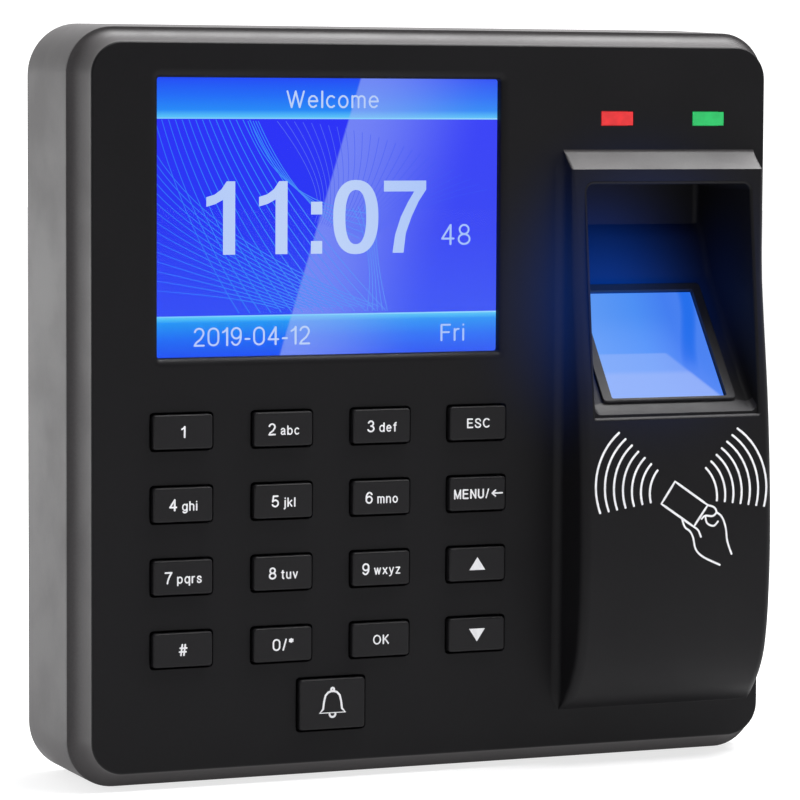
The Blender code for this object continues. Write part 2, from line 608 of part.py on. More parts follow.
def card_reader():
    """Copper loop behind the pod's lower front, and its board."""
    x0, x1, z0, z1 = 25.7, 51.6, -39.0, -10.0
    coil = Shape("card_coil", COPPER, origin=(POD_CENTRE, -28.6, (z0 + z1) / 2))
    coil.plate(rounded(x0, x1, z0, z1, 4.0, 3), -28.6, -28.0)
    coil.cut().plate(rounded(x0 + 2.6, x1 - 2.6, z0 + 2.6, z1 - 2.6, 2.0, 3), -30.0, -27.0)
    coil.finish_node()
    board = Shape("card_board", BOARD_GREEN, origin=(POD_CENTRE, -27.8, (z0 + z1) / 2))
    board.plate(rounded(x0 - 0.7, x1 + 0.7, z0 - 0.7, z1 + 1.0, 1.0, 2), -27.8, -26.6)
    board.finish_node()


# Electronics --------------------------------------------------------------------------------


def main_board():
    x0, x1, z0, z1 = MAIN_BOARD
    board = Shape("main_board", BOARD_GREEN, origin=((x0 + x1) / 2, MAIN_BOARD_Y, 0))
    board.plate(rounded(x0, x1, z0, z1, 2.0, 3), MAIN_BOARD_Y - BOARD_T, MAIN_BOARD_Y)
    holes = board.cut()
    for x, z in BOARD_POSTS:
        holes.cylinder(x, MAIN_BOARD_Y - 3.0, MAIN_BOARD_Y + 1.0, z, 1.5, segments=16)
    board.finish_node()
    front = MAIN_BOARD_Y - BOARD_T - 0.1
    rear = MAIN_BOARD_Y + 0.1
    blocks = (
        ("processor_chip", CHIP_BLACK, -24.0, -10.0, front - 1.2, front, 24.0, 38.0),
        ("memory_chip", CHIP_BLACK, -40.0, -30.0, front - 1.0, front, 26.0, 34.0),
        ("lock_relay", RELAY_BLUE, -44.0, -28.5, rear, -4.9, 4.0, 16.5),
    )
    for name, finish, bx0, bx1, y0, y1, bz0, bz1 in blocks:
        block = Shape(name, finish, origin=((bx0 + bx1) / 2, (y0 + y1) / 2, (bz0 + bz1) / 2))
        block.box(bx0, bx1, y0, y1, bz0, bz1)
        block.finish_node()
    buzzer = Shape("buzzer", CHIP_BLACK, origin=(-38.0, rear, -31.0))
    buzzer.cylinder(-38.0, rear, -4.6, -31.0, 5.6, segments=24)
    buzzer.cut().cylinder(-38.0, -6.0, -4.0, -31.0, 1.0, segments=12)
    buzzer.finish_node()


def clock_battery():
    """Coin cell that keeps the time, in its holder."""
    x, z, rear = -8.0, 24.0, MAIN_BOARD_Y + 0.1
    holder = Shape("battery_holder", CHIP_BLACK, origin=(x, rear, z))
    holder.cylinder(x, rear, rear + 4.6, z, 11.6, segments=32)
    holder.cut().cylinder(x, rear + 1.0, rear + 6.0, z, 10.2, segments=32)
    holder.finish_node()
    cell = Shape("coin_cell", STEEL, origin=(x, rear, z))
    cell.cylinder(x, rear + 1.2, rear + 4.4, z, 10.0, segments=32)
    cell.finish_node()


def wire_terminal():
    """Block for the supply, lock and bell wires, reached through the window in the rear wall."""
    rear = MAIN_BOARD_Y + 0.1
    ways, pitch, x0, z0, z1 = 8, 3.81, -25.2, -27.0, -19.0
    block = Shape("wire_terminal", TERMINAL_GREEN, origin=(x0, rear, z0))
    block.box(x0, x0 + ways * pitch, rear, -5.0, z0, z1)
    holes = block.cut()
    for way in range(ways):
        x = x0 + (way + 0.5) * pitch
        holes.box(x - 1.3, x + 1.3, -9.0, -4.0, z0 + 1.0, z0 + 3.8)
        holes.box(x - 1.0, x + 1.0, -6.2, -4.0, z1 - 3.2, z1 - 1.2)
    block.finish_node()


def tamper_button():
    """Switch on the board, and the spring-loaded plunger that the wall plate holds in."""
    rear = MAIN_BOARD_Y + 0.1
    body = Shape("tamper_switch", CHIP_BLACK, origin=(TAMPER_X, rear, TAMPER_Z))
    body.box(TAMPER_X - 3.2, TAMPER_X + 3.2, rear, rear + 2.4, TAMPER_Z - 3.2, TAMPER_Z + 3.2)
    body.finish_node()
    tip = -PLATE_T - 0.3
    plunger = Shape("tamper_plunger", WHITE_PLASTIC, origin=(TAMPER_X, tip, TAMPER_Z))
    plunger.cylinder(TAMPER_X, rear + 2.4 + TAMPER_TRAVEL + 0.3, tip, TAMPER_Z, 1.5, segments=16)
    plunger.join().cylinder(TAMPER_X, rear + 4.0, rear + 5.0, TAMPER_Z, 2.6, segments=16)
    plunger.finish_node()


front_cover()
rear_case()
wall_plate()
screws()
plate_lock_screw()
display()
lcd_ribbon()
keys()
keypad_layers()
lamps()
finger_bay()
sensor()
card_reader()
main_board()
clock_battery()
wire_terminal()
tamper_button()
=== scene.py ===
"""Looks of a wall-mounted fingerprint, card and keypad terminal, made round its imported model.

Every piece is drawn in millimetres in the model's own frame and turned into metres as it is finished:
+Z is up, the front faces -Y, and the wall plate's rear face lies at y = 0.
"""

import math

import bmesh
import bpy
from mathutils import Matrix, Vector


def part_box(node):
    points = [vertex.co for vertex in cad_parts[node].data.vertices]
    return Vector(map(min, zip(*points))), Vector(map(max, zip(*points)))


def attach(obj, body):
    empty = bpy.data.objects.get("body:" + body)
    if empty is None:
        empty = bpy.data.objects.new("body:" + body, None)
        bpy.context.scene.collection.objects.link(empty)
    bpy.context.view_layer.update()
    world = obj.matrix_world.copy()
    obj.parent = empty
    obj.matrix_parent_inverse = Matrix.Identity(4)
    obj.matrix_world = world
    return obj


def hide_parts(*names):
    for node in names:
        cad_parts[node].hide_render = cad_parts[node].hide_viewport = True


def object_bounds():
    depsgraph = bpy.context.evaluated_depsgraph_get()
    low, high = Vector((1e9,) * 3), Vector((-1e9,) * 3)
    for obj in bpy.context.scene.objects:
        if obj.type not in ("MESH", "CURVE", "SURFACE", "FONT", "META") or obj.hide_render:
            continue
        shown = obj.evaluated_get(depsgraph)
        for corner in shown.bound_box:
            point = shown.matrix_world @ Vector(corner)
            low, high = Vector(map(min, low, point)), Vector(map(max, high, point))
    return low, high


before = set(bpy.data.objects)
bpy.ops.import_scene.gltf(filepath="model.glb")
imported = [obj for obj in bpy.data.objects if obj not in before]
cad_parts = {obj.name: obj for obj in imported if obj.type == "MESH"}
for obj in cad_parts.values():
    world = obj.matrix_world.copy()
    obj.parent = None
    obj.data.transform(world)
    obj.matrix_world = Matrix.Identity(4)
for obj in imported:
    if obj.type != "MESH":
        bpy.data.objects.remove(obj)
cad_low, cad_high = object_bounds()

# Front cover --------------------------------------------------------------------------------
# One moulding in black ABS with a fine spark texture: the flat face, the hollow step round it,
# and the housing of the reader, which swells out of the face on the right below a flat hood.

MM = 0.001
CASE = "case"


def box_mm(node):
    """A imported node's lowest and highest corners, in millimetres."""
    return [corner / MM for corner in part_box(node)]


case_low, case_high = box_mm("rear_case")
face_y = box_mm("red_lamp_window")[0].y
SEAM_Y = case_low.y - 0.2
LEDGE_Y = SEAM_Y - 0.45
DRAFT = 0.65
CORNER_R = 8.2
COVE_INSET, COVE_INSET_BELOW = 2.35, 2.7
FACE_EDGE_R = 0.35
COVER_WALL = 2.0
POD_X0, POD_X1 = 21.5, 55.8
POD_TOP, POD_FOOT = 40.0, -50.7
POD_FILLET = 1.5
POD_SOFTEN_OVER = 18.0
OPENING_X0, OPENING_X1, OPENING_Z0, OPENING_Z1 = 23.6, 53.9, -3.2, 35.0


def rounded(x0, x1, z0, z1, radius, steps=8, radius_below=None):
    """Rectangle with round corners, as (x, z) points."""
    below = radius if radius_below is None else radius_below
    points = []
    for x, z, start, r in ((x1, z1, 0, radius), (x0, z1, 90, radius), (x0, z0, 180, below), (x1, z0, 270, below)):
        cx = x - math.copysign(r, x - (x0 + x1) / 2)
        cz = z - math.copysign(r, z - (z0 + z1) / 2)
        for step in range(steps + 1):
            angle = math.radians(start + 90 * step / steps)
            points.append((cx + r * math.cos(angle), cz + r * math.sin(angle)))
    return points


def centred(x, z, width, height, radius, steps=5):
    return rounded(x - width / 2, x + width / 2, z - height / 2, z + height / 2, radius, steps)


def case_outline(inset, inset_below, steps=16):
    return rounded(case_low.x + inset, case_high.x - inset, case_low.z + inset_below, case_high.z - inset,
                   CORNER_R - inset, steps)


def add_loops(bm, loops):
    """A surface through rings with equal numbers of points, closed at both ends."""
    faces = [bm.faces.new([bm.verts.new(point) for point in ring]) for ring in loops]
    for near, far in zip(faces, faces[1:]):
        bmesh.ops.bridge_loops(bm, edges=[*near.edges, *far.edges])
    bmesh.ops.delete(bm, geom=faces[1:-1], context="FACES_ONLY")


def stack(*sections, bm=None):
    """A solid through (y, outline) sections."""
    bm = bm or bmesh.new()
    add_loops(bm, [[(x, y, z) for x, z in outline] for y, outline in sections])
    return bm


def prism(outline, x0, x1, bm=None):
    """An outline of (y, z) points drawn out along X."""
    bm = bm or bmesh.new()
    face = bm.faces.new([bm.verts.new((x0, y, z)) for y, z in outline])
    made = bmesh.ops.extrude_face_region(bm, geom=[face])["geom"]
    bmesh.ops.translate(bm, verts=[v for v in made if isinstance(v, bmesh.types.BMVert)], vec=(x1 - x0, 0, 0))
    return bm


def round_edges(bm, edges, width, segments=3):
    bmesh.ops.bevel(bm, geom=list(edges), offset=width, offset_type="OFFSET", affect="EDGES",
                    segments=segments, profile=0.5, material=-1, clamp_overlap=True)


def mesh_object(name, bm):
    bmesh.ops.recalc_face_normals(bm, faces=bm.faces)
    if bm.calc_volume(signed=True) < 0:
        bmesh.ops.reverse_faces(bm, faces=bm.faces)
    bmesh.ops.scale(bm, verts=bm.verts, vec=(MM, MM, MM))
    mesh = bpy.data.meshes.new(name)
    bm.to_mesh(mesh)
    bm.free()
    obj = bpy.data.objects.new(name, mesh)
    bpy.context.scene.collection.objects.link(obj)
    return obj


def settle(obj):
    """Replaces an object's mesh by what its modifiers make of it."""
    bpy.context.view_layer.update()
    seen = obj.evaluated_get(bpy.context.evaluated_depsgraph_get())
    mesh = bpy.data.meshes.new_from_object(seen)
    obj.modifiers.clear()
    obj.data = mesh


def joined(*solids):
    return [("UNION", solid) for solid in solids]


def cut(*solids):
    return [("DIFFERENCE", solid) for solid in solids]


def finish_piece(name, bm, finish, body=CASE, replaces=(), steps=(), sharp=32):
    """A finished piece: solids are joined to it and cut from it in turn, then it is shaded and rides on its body."""
    obj = mesh_object(name, bm)
    for operation, solid in steps:
        tool = mesh_object("tool", solid)
        carve = obj.modifiers.new("carve", "BOOLEAN")
        carve.operation = operation
        carve.solver = "EXACT"
        carve.object = tool
        settle(obj)
        bpy.data.objects.remove(tool)
    obj.data.shade_smooth()
    obj.data.set_sharp_from_angle(angle=math.radians(sharp))
    weigh = obj.modifiers.new("weigh", "WEIGHTED_NORMAL")
    weigh.keep_sharp = True
    settle(obj)
    obj.data.name = name
    obj.data.materials.clear()
    obj.data.materials.append(finish)
    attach(obj, body)
    if replaces:
        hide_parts(*replaces)
    return obj


def smooth_through(points, steps):
    """A Catmull-Rom curve through points with two coordinates."""
    padded = [points[0], *points, points[-1]]
    made = []
    for a, b, c, d in zip(padded, padded[1:], padded[2:], padded[3:]):
        for step in range(steps):
            t = step / steps
            made.append(tuple(
                0.5 * (2 * q + (r - p) * t + (2 * p - 5 * q + 4 * r - s) * t * t
                       + (3 * q - p - 3 * r + s) * t ** 3)
                for p, q, r, s in zip(a, b, c, d)))
    made.append(points[-1])
    return made


POD_SWELL = smooth_through([
    (3.5, 36.9), (4.9, 19.0), (7.5, -1.0), (8.7, -17.0),
    (8.7, -30.0), (7.4, -41.0), (4.2, -47.3), (0.0, POD_FOOT),
], 8)


def pod_depth(z):
    """How far the housing stands out of the face at a height, its hood left aside."""
    for (out0, z0), (out1, z1) in zip(POD_SWELL, POD_SWELL[1:]):
        if z1 <= z <= z0:
            return out0 + (out1 - out0) * (z0 - z) / (z0 - z1)
    return POD_SWELL[0][0]


def pod_skin():
    """The housing: level sections from its hood to its foot, with a fillet at the face and round edges."""
    hood_rows = 5
    hood_depth, hood_z = POD_SWELL[0]
    rows = [(hood_depth * k / hood_rows, POD_TOP + (hood_z - POD_TOP) * k / hood_rows) for k in range(hood_rows)]
    rows += POD_SWELL
    turns = [math.radians(90 * k / 7) for k in range(8)]
    half = [("fillet", turn) for turn in turns] + [("edge", turn) for turn in turns]
    across = [(-1, *part) for part in half] + [(1, *part) for part in reversed(half)]
    bm = bmesh.new()
    bmesh.ops.create_grid(bm, x_segments=len(across) - 1, y_segments=len(rows) - 1, size=0.5)
    for vert in bm.verts:
        side, part, turn = across[round((vert.co.x + 0.5) * (len(across) - 1))]
        depth, z = rows[round((vert.co.y + 0.5) * (len(rows) - 1))]
        fillet = min(POD_FILLET, 0.45 * depth)
        softness = min(max((hood_z - z) / POD_SOFTEN_OVER, 0.0), 1.0)
        edge = min(0.5 + 1.1 * softness, 0.45 * depth)
        if part == "fillet":
            inward, out = -fillet * (1 - math.sin(turn)), fillet * (1 - math.cos(turn))
        else:
            inward, out = edge * (1 - math.cos(turn)), depth - edge * (1 - math.sin(turn))
        x = POD_X0 + inward if side < 0 else POD_X1 - inward
        vert.co = (x, face_y - out, z)
    bmesh.ops.remove_doubles(bm, verts=bm.verts, dist=1e-4)
    rim = [edge for edge in bm.edges if edge.is_boundary]
    made = bmesh.ops.extrude_edge_only(bm, edges=rim)["geom"]
    bmesh.ops.translate(bm, verts=[v for v in made if isinstance(v, bmesh.types.BMVert)], vec=(0, 1.0, 0))
    bmesh.ops.edgeloop_fill(bm, edges=[edge for edge in bm.edges if edge.is_boundary])
    return bm


def cover_plate():
    """The face with its round edge, the hollow step, and the sharp ledge at the seam."""
    sections = [(SEAM_Y, 0, 0), (LEDGE_Y + 0.12, 0, 0), (LEDGE_Y + 0.03, 0.04, 0.04)]
    for k in range(17):
        angle = math.radians(90 * k / 16)
        inset = 0.12 + (COVE_INSET - 0.12) * math.sin(angle)
        below = 0.12 + (COVE_INSET_BELOW - 0.12) * math.sin(angle)
        front = face_y + FACE_EDGE_R
        sections.append((front + (LEDGE_Y - front) * math.cos(angle), inset, below))
    for k in range(1, 7):
        angle = math.radians(90 * k / 6)
        more = FACE_EDGE_R * (1 - math.cos(angle))
        y = face_y + FACE_EDGE_R * (1 - math.sin(angle))
        sections.append((y, COVE_INSET + more, COVE_INSET_BELOW + more))
    return stack(*[(y, case_outline(DRAFT + inset, below)) for y, inset, below in sections])


def mouth(x, z, width, height, radius, lip, depth, steps=5, lip_steps=4, lip_depth=None):
    """A cutter for a hole in the face whose front edge is rounded by a lip."""
    lip_depth = lip_depth or lip
    sections = [(face_y - 0.5, lip)]
    for k in range(lip_steps + 1):
        angle = math.radians(90 * k / lip_steps)
        sections.append((face_y + lip_depth * (1 - math.cos(angle)), lip * (1 - math.sin(angle))))
    sections.append((face_y + depth, 0.0))
    return stack(*[(y, centred(x, z, width + 2 * more, height + 2 * more, radius + more, steps))
                   for y, more in sections])


KEYS = sorted(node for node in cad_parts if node.startswith("key_"))
KEY_FLANGE, KEY_CLEARANCE = 0.95, 0.3


def node_rectangle(node, rim=0.0):
    """Centre and size of a node seen from the front, less a rim all round."""
    low, high = box_mm(node)
    return (low.x + high.x) / 2, (low.z + high.z) / 2, high.x - low.x - 2 * rim, high.z - low.z - 2 * rim


SCREEN_X, SCREEN_Z, WINDOW_W, WINDOW_H = node_rectangle("display_window")
SCREEN_W, SCREEN_H = WINDOW_W - 4.4, WINDOW_H - 4.2
LAMP_FLANGE = 0.7


class Wire:
    """One output of a shader node. Arithmetic on it adds Math nodes to the same tree."""

    def __init__(self, tree, socket=None):
        self.tree = tree
        self.socket = socket

    def node(self, kind, settings=None, inputs=None, output=0):
        made = self.tree.nodes.new("ShaderNode" + kind)
        for key, value in (settings or {}).items():
            if key != "stops":
                setattr(made, key, value)
                continue
            ramp = made.color_ramp.elements
            while len(ramp) < len(value):
                ramp.new(1.0)
            for element, (place, colour) in zip(ramp, value):
                element.position = place
                element.color = (*colour, 1)
        for key, value in (inputs or {}).items():
            if isinstance(value, Wire):
                self.tree.links.new(value.socket, made.inputs[key])
            else:
                made.inputs[key].default_value = value
        return Wire(self.tree, made.outputs[output])

    def math(self, operation, *values):
        return self.node("Math", {"operation": operation}, dict(enumerate(values)))

    def __add__(self, other):
        return self.math("ADD", self, other)

    __radd__ = __add__

    def __sub__(self, other):
        return self.math("SUBTRACT", self, other)

    def __rsub__(self, other):
        return self.math("SUBTRACT", other, self)

    def __mul__(self, other):
        return self.math("MULTIPLY", self, other)

    __rmul__ = __mul__

    def __truediv__(self, other):
        return self.math("DIVIDE", self, other)

    def part(self, axis):
        return self.node("SeparateXYZ", None, {"Vector": self}, axis)

    def step(self, low, high):
        """0 below low and 1 above high, with a smooth change between them."""
        return self.node("MapRange", {"interpolation_type": "SMOOTHSTEP"},
                         {"Value": self, "From Min": low, "From Max": high})

    def blend(self, low, high):
        """A colour between two colours, by this value."""
        return self.node("Mix", {"data_type": "RGBA"}, {"Factor": self, 6: colour(low), 7: colour(high)}, 2)

    def noise(self, scale, detail=3.0, roughness=0.5):
        return self.node("TexNoise", None, {"Vector": self, "Scale": scale, "Detail": detail,
                                            "Roughness": roughness})

    def distance_to(self, point):
        return self.node("VectorMath", {"operation": "DISTANCE"}, {0: self, 1: tuple(point)}, "Value")

    def along(self, direction):
        return self.node("VectorMath", {"operation": "DOT_PRODUCT"}, {0: self, 1: tuple(direction)}, "Value")


def colour(value):
    return value if isinstance(value, Wire) else (*value, 1)


def new_finish(name, **constants):
    """A material, a function that feeds its shader's sockets, and the place on the piece."""
    material = bpy.data.materials.new(name)
    material.use_nodes = True
    tree = material.node_tree
    shader = tree.nodes["Principled BSDF"]
    place = Wire(tree).node("TexCoord", output="Object")

    def feed(**sockets):
        for key, value in sockets.items():
            socket = shader.inputs[key.replace("_", " ")]
            if isinstance(value, Wire):
                tree.links.new(value.socket, socket)
            elif isinstance(value, tuple) and len(value) == 3:
                socket.default_value = (*value, 1)
            else:
                socket.default_value = value

    feed(**constants)
    return material, feed, place


def bump(height, depth, strength=1.0):
    return height.node("Bump", None, {"Height": height, "Distance": depth, "Strength": strength}, "Normal")


# The centre of the painted blue light spill round the sensor, just left of and behind the glass's top edge.
glow_low, glow_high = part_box("sensor_glass")
PAINTED_GLOW_LEFT, PAINTED_GLOW_BEHIND = 0.005, 0.010
PAINTED_GLOW_CENTRE = Vector(((glow_low.x + glow_high.x) / 2 - PAINTED_GLOW_LEFT, glow_low.y + PAINTED_GLOW_BEHIND, glow_high.z))


def painted_sensor_glow(place, colour_near, reach):
    """Painted light: blue emission on the plastic round the sensor, standing in for the light the lit sensor throws on
    it, fading with distance.
    """
    near = 1 - (place.distance_to(PAINTED_GLOW_CENTRE) / reach).step(0.0, 1.0)
    return (near * near).blend((0, 0, 0), colour_near)


def black_plastic(name, base, sheen=0.5, painted_glow=None, grain=2600.0):
    """Moulded black ABS: a fine even grain, and very slight handling marks in its sheen; painted_glow, if given, adds
    the sensor's painted blue light spill as emission.
    """
    material, feed, place = new_finish(name, Specular_IOR_Level=sheen)
    grain_height = place.noise(grain, 2.0, 0.6)
    marks = place.noise(55.0, 4.0, 0.6)
    lighter = tuple(channel * 1.35 for channel in base)
    feed(Base_Color=(0.5 * grain_height + 0.5 * marks).step(0.3, 0.7).blend(base, lighter),
         Roughness=0.47 + 0.1 * marks.step(0.35, 0.7) + 0.05 * grain_height,
         Normal=bump(grain_height, 0.00002, 0.35))
    # Painted light: blue emission on the plastic, standing in for the light that the lit sensor spills on it.
    if painted_glow:
        feed(Emission_Color=painted_sensor_glow(place, *painted_glow), Emission_Strength=1.0)
    return material


# The face's plastic carries painted light: blue emission round the sensor for the light it spills.
painted_glow_face_plastic = black_plastic("painted_glow_face_plastic", (0.0048, 0.0045, 0.0053), 0.16, ((0.0, 0.024, 0.17), 0.036))
# A paler copy of the same plastic, painted lighter where light falls: the hollow step, the hood's top and the rear
# case.
painted_lit_plastic = black_plastic("painted_lit_plastic", (0.030, 0.0272, 0.0284), 0.42)
openings = [mouth(SCREEN_X, SCREEN_Z, SCREEN_W + 0.1, SCREEN_H + 0.1, 0.4, 1.45, 3.0, 8, 8, 1.0)]
for key in KEYS:
    x, z, width, height = node_rectangle(key, KEY_FLANGE)
    openings.append(mouth(x, z, width + 2 * KEY_CLEARANCE, height + 2 * KEY_CLEARANCE, 0.6, 0.15, 3.0))
for lamp in ("red_lamp_window", "green_lamp_window"):
    openings.append(mouth(*node_rectangle(lamp, LAMP_FLANGE), 0.15, 0.05, 3.0, 3, 2))
hollow_inset = DRAFT + COVE_INSET + COVER_WALL
hollow = stack((face_y + COVER_WALL, case_outline(hollow_inset, hollow_inset - DRAFT, 6)),
               (SEAM_Y + 2.0, case_outline(hollow_inset, hollow_inset - DRAFT, 6)))
POD_WALL, POD_SIDE_WALL, HOLLOW_TOP, HOLLOW_FOOT = 1.7, 1.1, 36.0, -46.0
hollow_front = [(face_y - max(out - POD_WALL, -1.0), min(max(z, POD_FOOT + 2.0), HOLLOW_TOP))
                for out, z in POD_SWELL[::4]]
hollow_back = face_y + COVER_WALL + 1.0
pod_hollow = prism([(hollow_back, HOLLOW_TOP), *hollow_front[:-1], (hollow_back, HOLLOW_FOOT)],
                   POD_X0 + POD_SIDE_WALL, POD_X1 - POD_SIDE_WALL)
finger_opening = rounded(OPENING_X0, OPENING_X1, OPENING_Z0, OPENING_Z1, 1.7, 8, 0.6)
openings += [hollow, pod_hollow, stack((face_y - 12.0, finger_opening), (face_y + 10.0, finger_opening))]
front_cover = finish_piece("front_cover_shell", cover_plate(), painted_glow_face_plastic, replaces=["front_cover"],
                           steps=joined(pod_skin()) + cut(*openings))

# The hollow step and the slope of the hood take the paler, shinier copy of the face's plastic: painted light, where
# light falls on them from the left and from above.
front_cover.data.materials.append(painted_lit_plastic)
half_w, half_h = (case_high.x - case_low.x) / 2, (case_high.z - case_low.z) / 2
middle_z = (case_high.z + case_low.z) / 2
for face in front_cover.data.polygons:
    centre = face.center / MM
    over_x = abs(centre.x) - (half_w - CORNER_R)
    over_z = abs(centre.z - middle_z) - (half_h - CORNER_R)
    from_edge = CORNER_R - math.hypot(max(over_x, 0), max(over_z, 0)) - min(max(over_x, over_z), 0)
    painted_lit_step = centre.y > face_y + FACE_EDGE_R * 0.9 and from_edge < DRAFT + COVE_INSET + 0.25
    painted_lit_hood = 36.5 < centre.z < POD_TOP and centre.y < face_y - 0.02 and face.normal.z > 0.5
    face.material_index = int(painted_lit_step or painted_lit_hood)

# Status lamp windows ------------------------------------------------------------------------
# Two light pipes of tinted polycarbonate, pressed in from behind until they lie level with the
# face. A red and a green diode shine into them.

LAMP_GLOW = 0.285


def lamp_finish(name, tint):
    """Tinted plastic lit from behind, its tint and glow a touch uneven in a fine cloud."""
    material, feed, place = new_finish(name, Roughness=0.3, Coat_Weight=0.3)
    cloud = place.noise(700.0, 2.0)
    dim = tuple(channel * 0.86 for channel in tint)
    feed(Base_Color=cloud.step(0.3, 0.7).blend(dim, tint), Emission_Color=cloud.step(0.2, 0.8).blend(dim, tint),
         Emission_Strength=LAMP_GLOW)
    return material


def refinish(finish, *nodes):
    for node in nodes:
        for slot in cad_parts[node].material_slots:
            slot.material = finish


refinish(lamp_finish("lamp_red", (0.72, 0.026, 0.030)), "red_lamp_window")
refinish(lamp_finish("lamp_green", (0.018, 0.48, 0.12)), "green_lamp_window")

# Display ------------------------------------------------------------------------------------
# A 2.8 inch colour display behind a clear acrylic window, which black tape holds in the cover.
# Its picture shows the time and date between two lighter bars, over a net of fine curves.

PICTURE_Y = box_mm("display_window")[1].y + 0.1
BAR = 0.144


def screen_colour(red, green, blue):
    """A colour named by its eight-bit display values, as light."""
    return tuple(((v / 255 + 0.055) / 1.055) ** 2.4 if v > 10 else v / 255 / 12.92 for v in (red, green, blue))


def screen_light(name, *stops):
    """A lit part of the picture, in one colour or shaded through several from its left to its right."""
    material, feed, place = new_finish(name, Base_Color=(0.0, 0.0, 0.0), Roughness=0.6, Specular_IOR_Level=0.0)
    across = (place.part(0) / MM - (SCREEN_X - SCREEN_W / 2)) / SCREEN_W
    lit = across.node("ValToRGB", {"stops": stops}, {"Fac": across})
    feed(Emission_Color=lit, Emission_Strength=1.0)
    return material


def picture_finish():
    """The picture's ground: deep blue between bars that shade to cyan, with the cell's fine rows, and a painted glare:
    a pale reflection right of a slanting line, fading towards the right.
    """
    material, feed, place = new_finish("display_picture", Base_Color=(0.0, 0.0, 0.0), Roughness=0.5,
                                       Specular_IOR_Level=0.0)
    across = (place.part(0) / MM - (SCREEN_X - SCREEN_W / 2)) / SCREEN_W
    up = (place.part(2) / MM - (SCREEN_Z - SCREEN_H / 2)) / SCREEN_H
    sky = up.node("ValToRGB", {"stops": (
        (0.17, screen_colour(52, 78, 248)), (0.45, screen_colour(44, 58, 246)),
        (0.85, screen_colour(46, 52, 250)))}, {"Fac": up})
    top_bar = up.node("ValToRGB", {"stops": (
        (1 - BAR, screen_colour(96, 205, 252)), (1 - BAR * 0.80, screen_colour(42, 140, 250)),
        (1 - BAR * 0.45, screen_colour(38, 112, 250)), (1.0, screen_colour(38, 78, 248)))}, {"Fac": up})
    foot_bar = up.node("ValToRGB", {"stops": (
        (0.0, screen_colour(34, 84, 246)), (BAR * 0.45, screen_colour(32, 110, 248)),
        (BAR * 0.84, screen_colour(36, 150, 248)), (BAR, screen_colour(92, 210, 252)))}, {"Fac": up})
    rows = (up * (240 * math.tau)).math("SINE", up * (240 * math.tau)) * 0.5 + 0.5
    ground = up.step(1 - BAR, 1 - BAR + 0.004).blend(sky, top_bar)
    ground = up.step(BAR - 0.004, BAR).blend(foot_bar, ground)
    # Painted reflection: a pale glare band that starts at a slanting line and fades towards the right.
    edge = 0.355 + 0.234 * up
    sheen = (across - edge).step(0.0, 0.008) * (1.0 - 0.86 * (across - edge).step(0.0, 0.42))
    ground_with_painted_glare = (0.46 * sheen).blend(ground, screen_colour(160, 182, 248))
    feed(Emission_Color=(0.05 * rows).blend(ground_with_painted_glare, (0.0, 0.0, 0.0)), Emission_Strength=1.0)
    return material


cell = centred(SCREEN_X, SCREEN_Z, SCREEN_W + 1.2, SCREEN_H + 1.2, 0.3, 2)
finish_piece("display_picture", stack((PICTURE_Y, cell), (PICTURE_Y + 1.4, cell)), picture_finish(),
             replaces=["lcd_glass"])


def add_lines(bm, lines, width, lay, press=0.12, sides=2):
    """Drawn lines of (x, z) points with round ends: fine tubes pressed flat on the surface lay(x, z).

    lay gives the surface's y, press how thick a tube stays, and sides how finely it is rounded.
    """
    curve = bpy.data.curves.new("lines", "CURVE")
    curve.dimensions = "3D"
    curve.bevel_depth = width / 2
    curve.bevel_resolution = sides
    for points in lines:
        closed = points[0] == points[-1]
        drawn = [(Vector(point), 1.0) for point in (points[:-1] if closed else points)]
        if not closed:
            for _ in range(2):
                (end, _), (following, _) = drawn[0], drawn[1]
                along = (following - end).normalized() * width / 2
                drawn[0:1] = [(end - along * 0.9, 0.0), (end - along * 0.6, 0.8), (end, 1.0)]
                drawn.reverse()
        spline = curve.splines.new("POLY")
        spline.points.add(len(drawn) - 1)
        spline.use_cyclic_u = closed
        for knot, (point, radius) in zip(spline.points, drawn):
            knot.co = (point.x, 0, point.y, 1)
            knot.radius = radius
    drawing = bpy.data.objects.new("drawing", curve)
    bpy.context.scene.collection.objects.link(drawing)
    bpy.context.view_layer.update()
    mesh = bpy.data.meshes.new_from_object(drawing.evaluated_get(bpy.context.evaluated_depsgraph_get()))
    bpy.data.objects.remove(drawing)
    for vert in mesh.vertices:
        vert.co.y = lay(vert.co.x, vert.co.z) + vert.co.y * press
    bm.from_mesh(mesh)
    bmesh.ops.remove_doubles(bm, verts=bm.verts, dist=2e-4)
    bpy.data.meshes.remove(mesh)


def bow(cx, cz, rx, rz, start, end, steps=9):
    """Points on an arc of an oval, between two angles in degrees."""
    angles = [math.radians(start + (end - start) * k / steps) for k in range(steps + 1)]
    return [(cx + rx * math.cos(angle), cz + rz * math.sin(angle)) for angle in angles]


def ring(cx, cz, rx, rz):
    points = bow(cx, cz, rx, rz, 0, 360, 18)
    return [*points[:-1], points[0]]


def tall_ring(cx, rx, z0, z1):
    points = [*bow(cx, z1 - rx * 1.1, rx, rx * 1.1, 0, 180), *bow(cx, z0 + rx * 1.1, rx, rx * 1.1, 180, 360)]
    return [*points, points[0]]


LOW = 0.72
BOWL = ring(0.24, LOW / 2, 0.24, LOW / 2)
ARCH = [*bow(0.21, 0.49, 0.21, 0.23, 180, 0), (0.42, 0)]
S_LINE = smooth_through([(0.94, 0.78), (0.78, 0.95), (0.5, 1.0), (0.17, 0.93), (0.07, 0.75), (0.22, 0.59),
                         (0.6, 0.47), (0.92, 0.34), (0.98, 0.2), (0.8, 0.04), (0.47, 0.0), (0.14, 0.06),
                         (0.0, 0.25)], 3)

